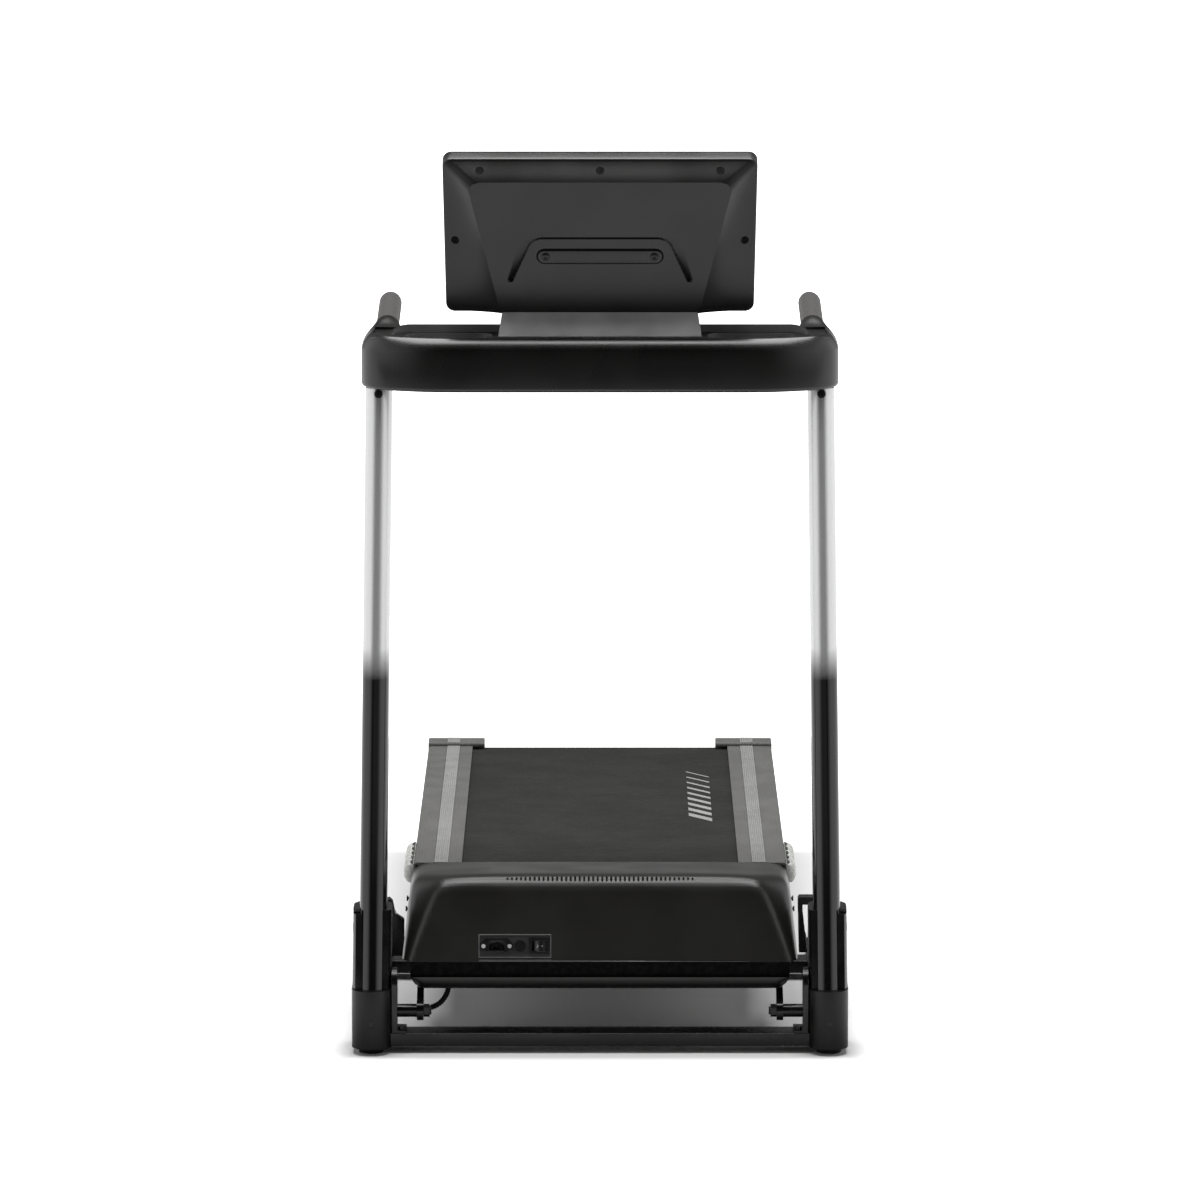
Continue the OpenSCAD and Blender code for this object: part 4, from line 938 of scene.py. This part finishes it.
def hood():
    """The hood with soft edges: the CAD's flat faces, finely cut and drawn onto a rounded copy of them."""
    bm = bmesh.new()
    right = [bm.verts.new(p) for p in HOOD_TOP]
    left = [bm.verts.new((-x, y, z)) for x, y, z in HOOD_TOP]
    for ids in HOOD_SIDES:
        bm.faces.new([right[i] for i in ids])
        bm.faces.new([left[i] for i in reversed(ids)])
    bm.faces.new([left[0], right[0], right[3], left[3]])
    bm.faces.new([left[3], right[3], right[5], left[5]])
    bm.faces.new([right[5], right[6], right[7]])
    bm.faces.new([left[7], left[6], left[5]])
    bm.faces.new([left[5], right[5], right[7], left[7]])
    bmesh.ops.recalc_face_normals(bm, faces=bm.faces)
    planes = []
    centre = Vector((0, 200, 170))
    for face in bm.faces:
        face.normal_update()
        n = face.normal.copy()
        d = n.dot(face.calc_center_median())
        if n.dot(centre) > d:
            n, d = -n, -d
        if not any((n - m).length < 0.02 for m, _ in planes):
            planes.append((n, d))

    def cut(at, normal):
        bmesh.ops.bisect_plane(
            bm, geom=bm.verts[:] + bm.edges[:] + bm.faces[:], plane_co=at, plane_no=normal, dist=0.01
        )

    to_hood = BASE.inverted() @ HOOD_FACE
    up = (to_hood @ Vector((0, 0, 1)) - to_hood @ Vector((0, 0, 0))).normalized()
    for x in (-185.3, -74.7):
        cut((x, 0, 0), (1, 0, 0))
    for v in (6.7, 42.3):
        cut(to_hood @ Vector((0, 0, v)), up)
    for k in range(-24, 25):
        cut((k * 12.3, 0, 0), (1, 0, 0))
    for side in (1, -1):
        for x in (232, 240, 247, 252, 258, 265, 272, 277, 282, 286, 290, 294, 299):
            cut((side * x, 0, 0), (1, 0, 0))
    for y in (45, 50, 55, 60, 64, 68, 72, 76, 80, 84, 89, 95, 102, 110, 118, 126, 136, 150, 170, 200, 240, 280):
        cut((0, y, 0), (0, 1, 0))
    for z in (146, 160, 175, 190, 205, 220, 232, 238, 242, 246, 250, 254, 258, 262, 266):
        cut((0, 0, z), (0, 0, 1))
    to_face = to_hood.inverted()
    hole = []
    for face in bm.faces:
        c = to_face @ face.calc_center_median()
        if abs(c.y) < 0.5 and -185.3 < c.x < -74.7 and 6.7 < c.z < 42.3:
            hole.append(face)
    bmesh.ops.delete(bm, geom=hole, context="FACES")

    def field(p, soft=4.5):
        values = [n.dot(p) - d for n, d in planes]
        top = max(values)
        return top + soft * math.log(sum(math.exp((v - top) / soft) for v in values))

    for vert in bm.verts:
        origin = Vector((vert.co.x * 0.6, max(vert.co.y, 130), 150))
        low, high = 0.3, 1.02
        for _ in range(26):
            t = (low + high) / 2
            if field(origin.lerp(vert.co, t)) < 0:
                low = t
            else:
                high = t
        vert.co = origin.lerp(vert.co, low)
    bmesh.ops.recalc_face_normals(bm, faces=bm.faces)
    bmesh.ops.solidify(bm, geom=bm.faces[:], thickness=2.4)
    bm.verts.index_update()
    points = [v.co.copy() for v in bm.verts]
    faces = [[v.index for v in f.verts] for f in bm.faces]
    surface = BVHTree.FromBMesh(bm)
    bm.free()
    piece("hood_shell", points, faces, BASE, "hood_plastic", "deck", ["motor_hood"], 24)
    # Painted shade: the vent slots are near-black strips laid on the hood's surface, standing in for the shade
    # inside open slots.
    slots = Shape()
    count, pitch = 42, 6.9
    for i in range(count):
        x = (i - (count - 1) / 2) * pitch
        tall = 10 - 5.5 * (abs(x) / (count * pitch / 2)) ** 2
        rows = []
        for k in range(9):
            dz = tall * (k / 8 - 0.5)
            half = 1.6 * math.sqrt(max(0.05, 1 - max(0.0, (abs(dz) - tall / 2 + 1.6) / 1.6) ** 2))
            row = []
            for dx in (-half, half):
                at, _, _, _ = surface.ray_cast(Vector((x + dx, -3, 289 + dz)), Vector((0, 80, -28)))
                row.append(at + Vector((0, -0.2, 0.2)))
            rows.append(row)
        slots.loft(rows, False, False)
    slots.make("hood_slots", BASE, "hood_plastic", "deck", look="shadow")


# Height in metres above which the pan's front faces take painted shade.
PAN_SHADE_ABOVE = 0.1135


def hood_and_pan():
    """The hood, the pan whose upper front, in the hood's shadow, takes painted shade, and the mains panel's
    parts.
    """
    hood()
    pan = refined("motor_pan", 1.5)
    # Painted shade: the pan's upper front faces take the near-black look, standing in for the shade under the
    # hood's overhang.
    pan.data.materials.append(MATERIALS["shadow"])
    for polygon in pan.data.polygons:
        if polygon.center.z > PAN_SHADE_ABOVE and polygon.normal.y < -0.4:
            polygon.material_index = 1
    refined("power_panel", 0.8)
    refined("power_inlet", 0.35, shortest=1.5)
    refined("switch_bodies", 0.4, shortest=3)
    refined("power_rocker", 0.4, shortest=3)


def strips():
    """Ribbed anti-slip strips that run on over the end caps."""
    profile = [(236.3, -1.1), (236.3, 0.2)]
    ribs = 7
    width = (257.7 - 236.3) / ribs
    for k in range(ribs):
        x = 236.3 + k * width
        profile += [(x + 0.25, 0.3), (x + 0.6, 0.9), (x + width - 0.6, 0.9), (x + width - 0.25, 0.3)]
    profile += [(257.7, 0.2), (257.7, -1.1)]
    shape = Shape()
    for side in (1, -1):
        for start, stop, lift in ((2, DECK_END - 64.3, 0.0), (DECK_END - 62, DECK_END - 3, 5.4)):
            rings = [[(side * x, s, n + lift) for x, n in profile] for s in (start, stop)]
            shape.loft(rings)
    shape.make("ribbed_strips", DECK, "strip_rubber", "deck", ["rail_strips"])


def belt_marks():
    """Nine slanted bars printed on the belt, thinner towards the rear."""
    shape = Shape()
    left, right, slant = 143.0, 180.0, 58.0
    for k in range(9):
        thick = 31 - 2.9 * k
        s = 812 - 300 + 58.7 * k
        corners = [(left, s), (right, s - slant), (right, s - slant + thick), (left, s + thick)]
        rings = [[(x, y, n) for x, y in corners] for n in (-6.05, -5.88)]
        shape.loft(rings)
    shape.make("belt_marks", DECK, "strip_rubber", "deck", look="print")


def cushions():
    """Rows of bulging translucent air cells along the deck's front sides."""
    cell, low, high = 44.0, -33.0, -3.0
    for side, name in ((1, "right"), (-1, "left")):
        shape = Shape()
        for i in range(5):
            rings = []
            for k in range(13):
                a = math.pi * k / 12
                n = (low + high) / 2 - (high - low) / 2 * math.cos(a)
                swell = 0.35 + 0.65 * math.sin(a) ** 0.6
                ring = []
                for m in range(17):
                    b = math.pi * m / 16
                    s = 6 + cell * (i + 0.5) - (cell / 2 - 0.2) * math.cos(b)
                    x = 290 + 15.4 * swell * math.sin(b) ** 0.8
                    ring.append((side * x, s, n))
                rings.append(ring)
            shape.loft(rings, False, False)
        backing = [[(side * x, s, n) for x, n in ((289.9, low), (290.6, low), (290.6, high), (289.9, high))]
                   for s in (6, 226)]
        shape.loft(backing)
        stands_for = ["air_cushions"] if side > 0 else ()
        shape.make("air_cells_" + name, DECK, "air_cell", "deck", stands_for, 60)


LOOM = [
    (-232, 108, 100), (-232, 108, 91), (-234, 106, 80), (-239, 102, 70), (-247, 98, 62), (-258, 95, 57),
    (-271, 94, 55), (-286, 94, 55), (-302, 94, 56), (-316, 94, 57), (-327, 94, 58),
]


def loom():
    """Corrugated sleeve along the loom's route."""
    points = [Vector(p) for p in LOOM]
    path = []
    for i in range(len(points) - 1):
        a, b = points[max(i - 1, 0)], points[i]
        c, d = points[i + 1], points[min(i + 2, len(points) - 1)]
        for k in range(12):
            t = k / 12
            path.append(0.5 * ((2 * b) + (c - a) * t + (2 * a - 5 * b + 4 * c - d) * t * t
                               + (3 * b - a - 3 * c + d) * t ** 3))
    path.append(points[-1])
    rings = []
    for i, p in enumerate(path):
        run = (path[min(i + 1, len(path) - 1)] - path[max(i - 1, 0)]).normalized()
        u = run.cross(Vector((0, 1, 0.2))).normalized()
        v = run.cross(u)
        r = (4.45, 4.1, 3.5, 4.1)[i % 4]
        rings.append([p + r * (math.cos(2 * math.pi * k / 20) * u + math.sin(2 * math.pi * k / 20) * v)
                      for k in range(20)])
    shape = Shape()
    shape.loft(rings)
    obj = shape.make("corrugated_loom", BASE, "black_rubber", None, ["cable_loom"], 50)
    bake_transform(obj)


def caps_and_rails():
    refined("rear_end_caps", 1.5, shortest=10)
    refined("foot_rails", 1.2, shortest=3)
    refined("running_board", 1.0)
    refined("deck_side_rails", 2.0, shortest=20)
    refined("deck_cross_members", 2.0, shortest=20)
    refined("pivot_lugs", 0.8, shortest=6)
    refined("deck_legs", 0.9, shortest=12)
    refined("deck_feet", 1.5, shortest=8)


# ---- Base dressing ----


def base_dressing():
    refined("base_cross_tubes", 3.0, shortest=30)
    refined("base_rails", 3.0, shortest=30)
    refined("pivot_plates", 1.0, shortest=6)
    refined("latch_brackets", 1.0, shortest=4)
    refined("boot_covers", 1.6, angle=40, shortest=2, look="boot")
    refined("boot_flanges", 1.2, angle=40, shortest=3)
    refined("levelling_feet", 0.8, angle=50, shortest=0.5)


HOOD_SCREWS_FROM = 0.28


def bolt_heads():
    """Button heads with hexagon sockets over the plain CAD heads that show, and the dark hood screws."""
    shape = Shape()

    def head(at, axis, radius, height):
        axis = Vector(axis).normalized()
        shape.turned(
            [(radius, 0), (radius, height * 0.35), (radius * 0.88, height * 0.75), (radius * 0.66, height),
             (radius * 0.5, height)],
            at, axis, 36,
        )
        socket = [(radius * 0.5, height), (radius * 0.48, height * 0.35), (0.01, height * 0.3)]
        shape.turned(socket, at, axis, 6)

    lean = math.radians(12)
    for side in (1, -1):
        for z in (140, 187):
            head((side * 373.5, z * 0.2126 + 34, z), (side, 0, 0), 7.1, 4.6)
        x = side * (348 - 944 * math.sin(math.radians(0.56)))
        y = 47 + 944 * math.sin(lean) - 38.6 * math.cos(lean)
        z = 60 + 944 * math.cos(lean) + 38.6 * math.sin(lean)
        head((x, y, z), (0, -math.cos(lean), math.sin(lean)), 6.6, 5.4)
    shape.make("socket_heads", BASE, "black_steel", "frame")
    screws = refined("deck_fasteners", 0.3, shortest=2)
    screws.data.materials.append(MATERIALS["black_steel"])
    for polygon in screws.data.polygons:
        if abs(polygon.center.x) > HOOD_SCREWS_FROM:
            polygon.material_index = 1


def panel_marks():
    """The O and I marks on the mains rocker, the rim round the mains panel and the hem under the hood; rim and
    hem are lighter as painted highlights.
    """
    rock = HOOD_FACE @ Matrix.Translation((-93, 6, 24.5)) @ Matrix.Rotation(math.radians(10), 4, "Z")
    marks = Shape()
    marks.turned([(1.4, 0), (1.4, 0.4), (2.1, 0.4), (2.1, 0)], (-4.6, -6.6, 0), (0, -1, 0), 24)
    bar = ((2.6, -0.5), (6.2, -0.5), (6.2, 0.5), (2.6, 0.5))
    marks.loft([[(x, y, z) for x, z in bar] for y in (-6.2, -6.9)])
    marks.make("rocker_marks", rock, "strip_rubber", "power_rocker", look="mark")
    # Painted highlight: the rim round the mains panel takes the light tray colour, standing in for the
    # highlight along the panel's edge.
    edge = Shape()
    outline = [(-185.6, 6.4), (-74.4, 6.4), (-74.4, 42.6), (-185.6, 42.6)]
    rings = []
    for inset, y in ((0, 2.5), (0, -0.5), (0.4, -0.9), (1.2, -0.9), (1.6, -0.5), (1.6, 2.5)):
        rings.append([
            (x + math.copysign(inset, -130 - x), y, z + math.copysign(inset, 24.5 - z)) for x, z in outline
        ])
    edge.loft(rings, True, False)
    last = 4 * (len(rings) - 1)
    edge.faces.extend((last + k, last + (k + 1) % 4, (k + 1) % 4, k) for k in range(4))
    edge.make("panel_edge", HOOD_FACE, "hood_plastic", "deck", look="tray_plastic")
    # Painted highlight: the hem's light grey stands in for the highlight along the hood's lower edge.
    hem = Shape()
    rings = []
    for x, tall in ((-186, 0.4), (-184, 3.0), (-76, 3.0), (-73, 1.6), (40, 1.2), (150, 0.6), (230, 0.2)):
        section = ((1, 0.6), (-1.4, 0.8), (-1.8, 0.7 + tall * 0.5), (-1.4, 0.7 + tall), (1, 0.9 + tall))
        rings.append([(x, y, z) for y, z in section])
    hem.loft(rings)
    hem.make("hood_hem", HOOD_FACE, "hood_plastic", "deck", look="hem")


MATERIALS = make_materials()
look_camera()
studio()
floor()
dress_frame()
handlebar()
console_back()
console_front()
keys()
hood_and_pan()
strips()
belt_marks()
cushions()
loom()
caps_and_rails()
base_dressing()
bolt_heads()
panel_marks()

bpy.context.scene.view_settings.view_transform = "Standard"
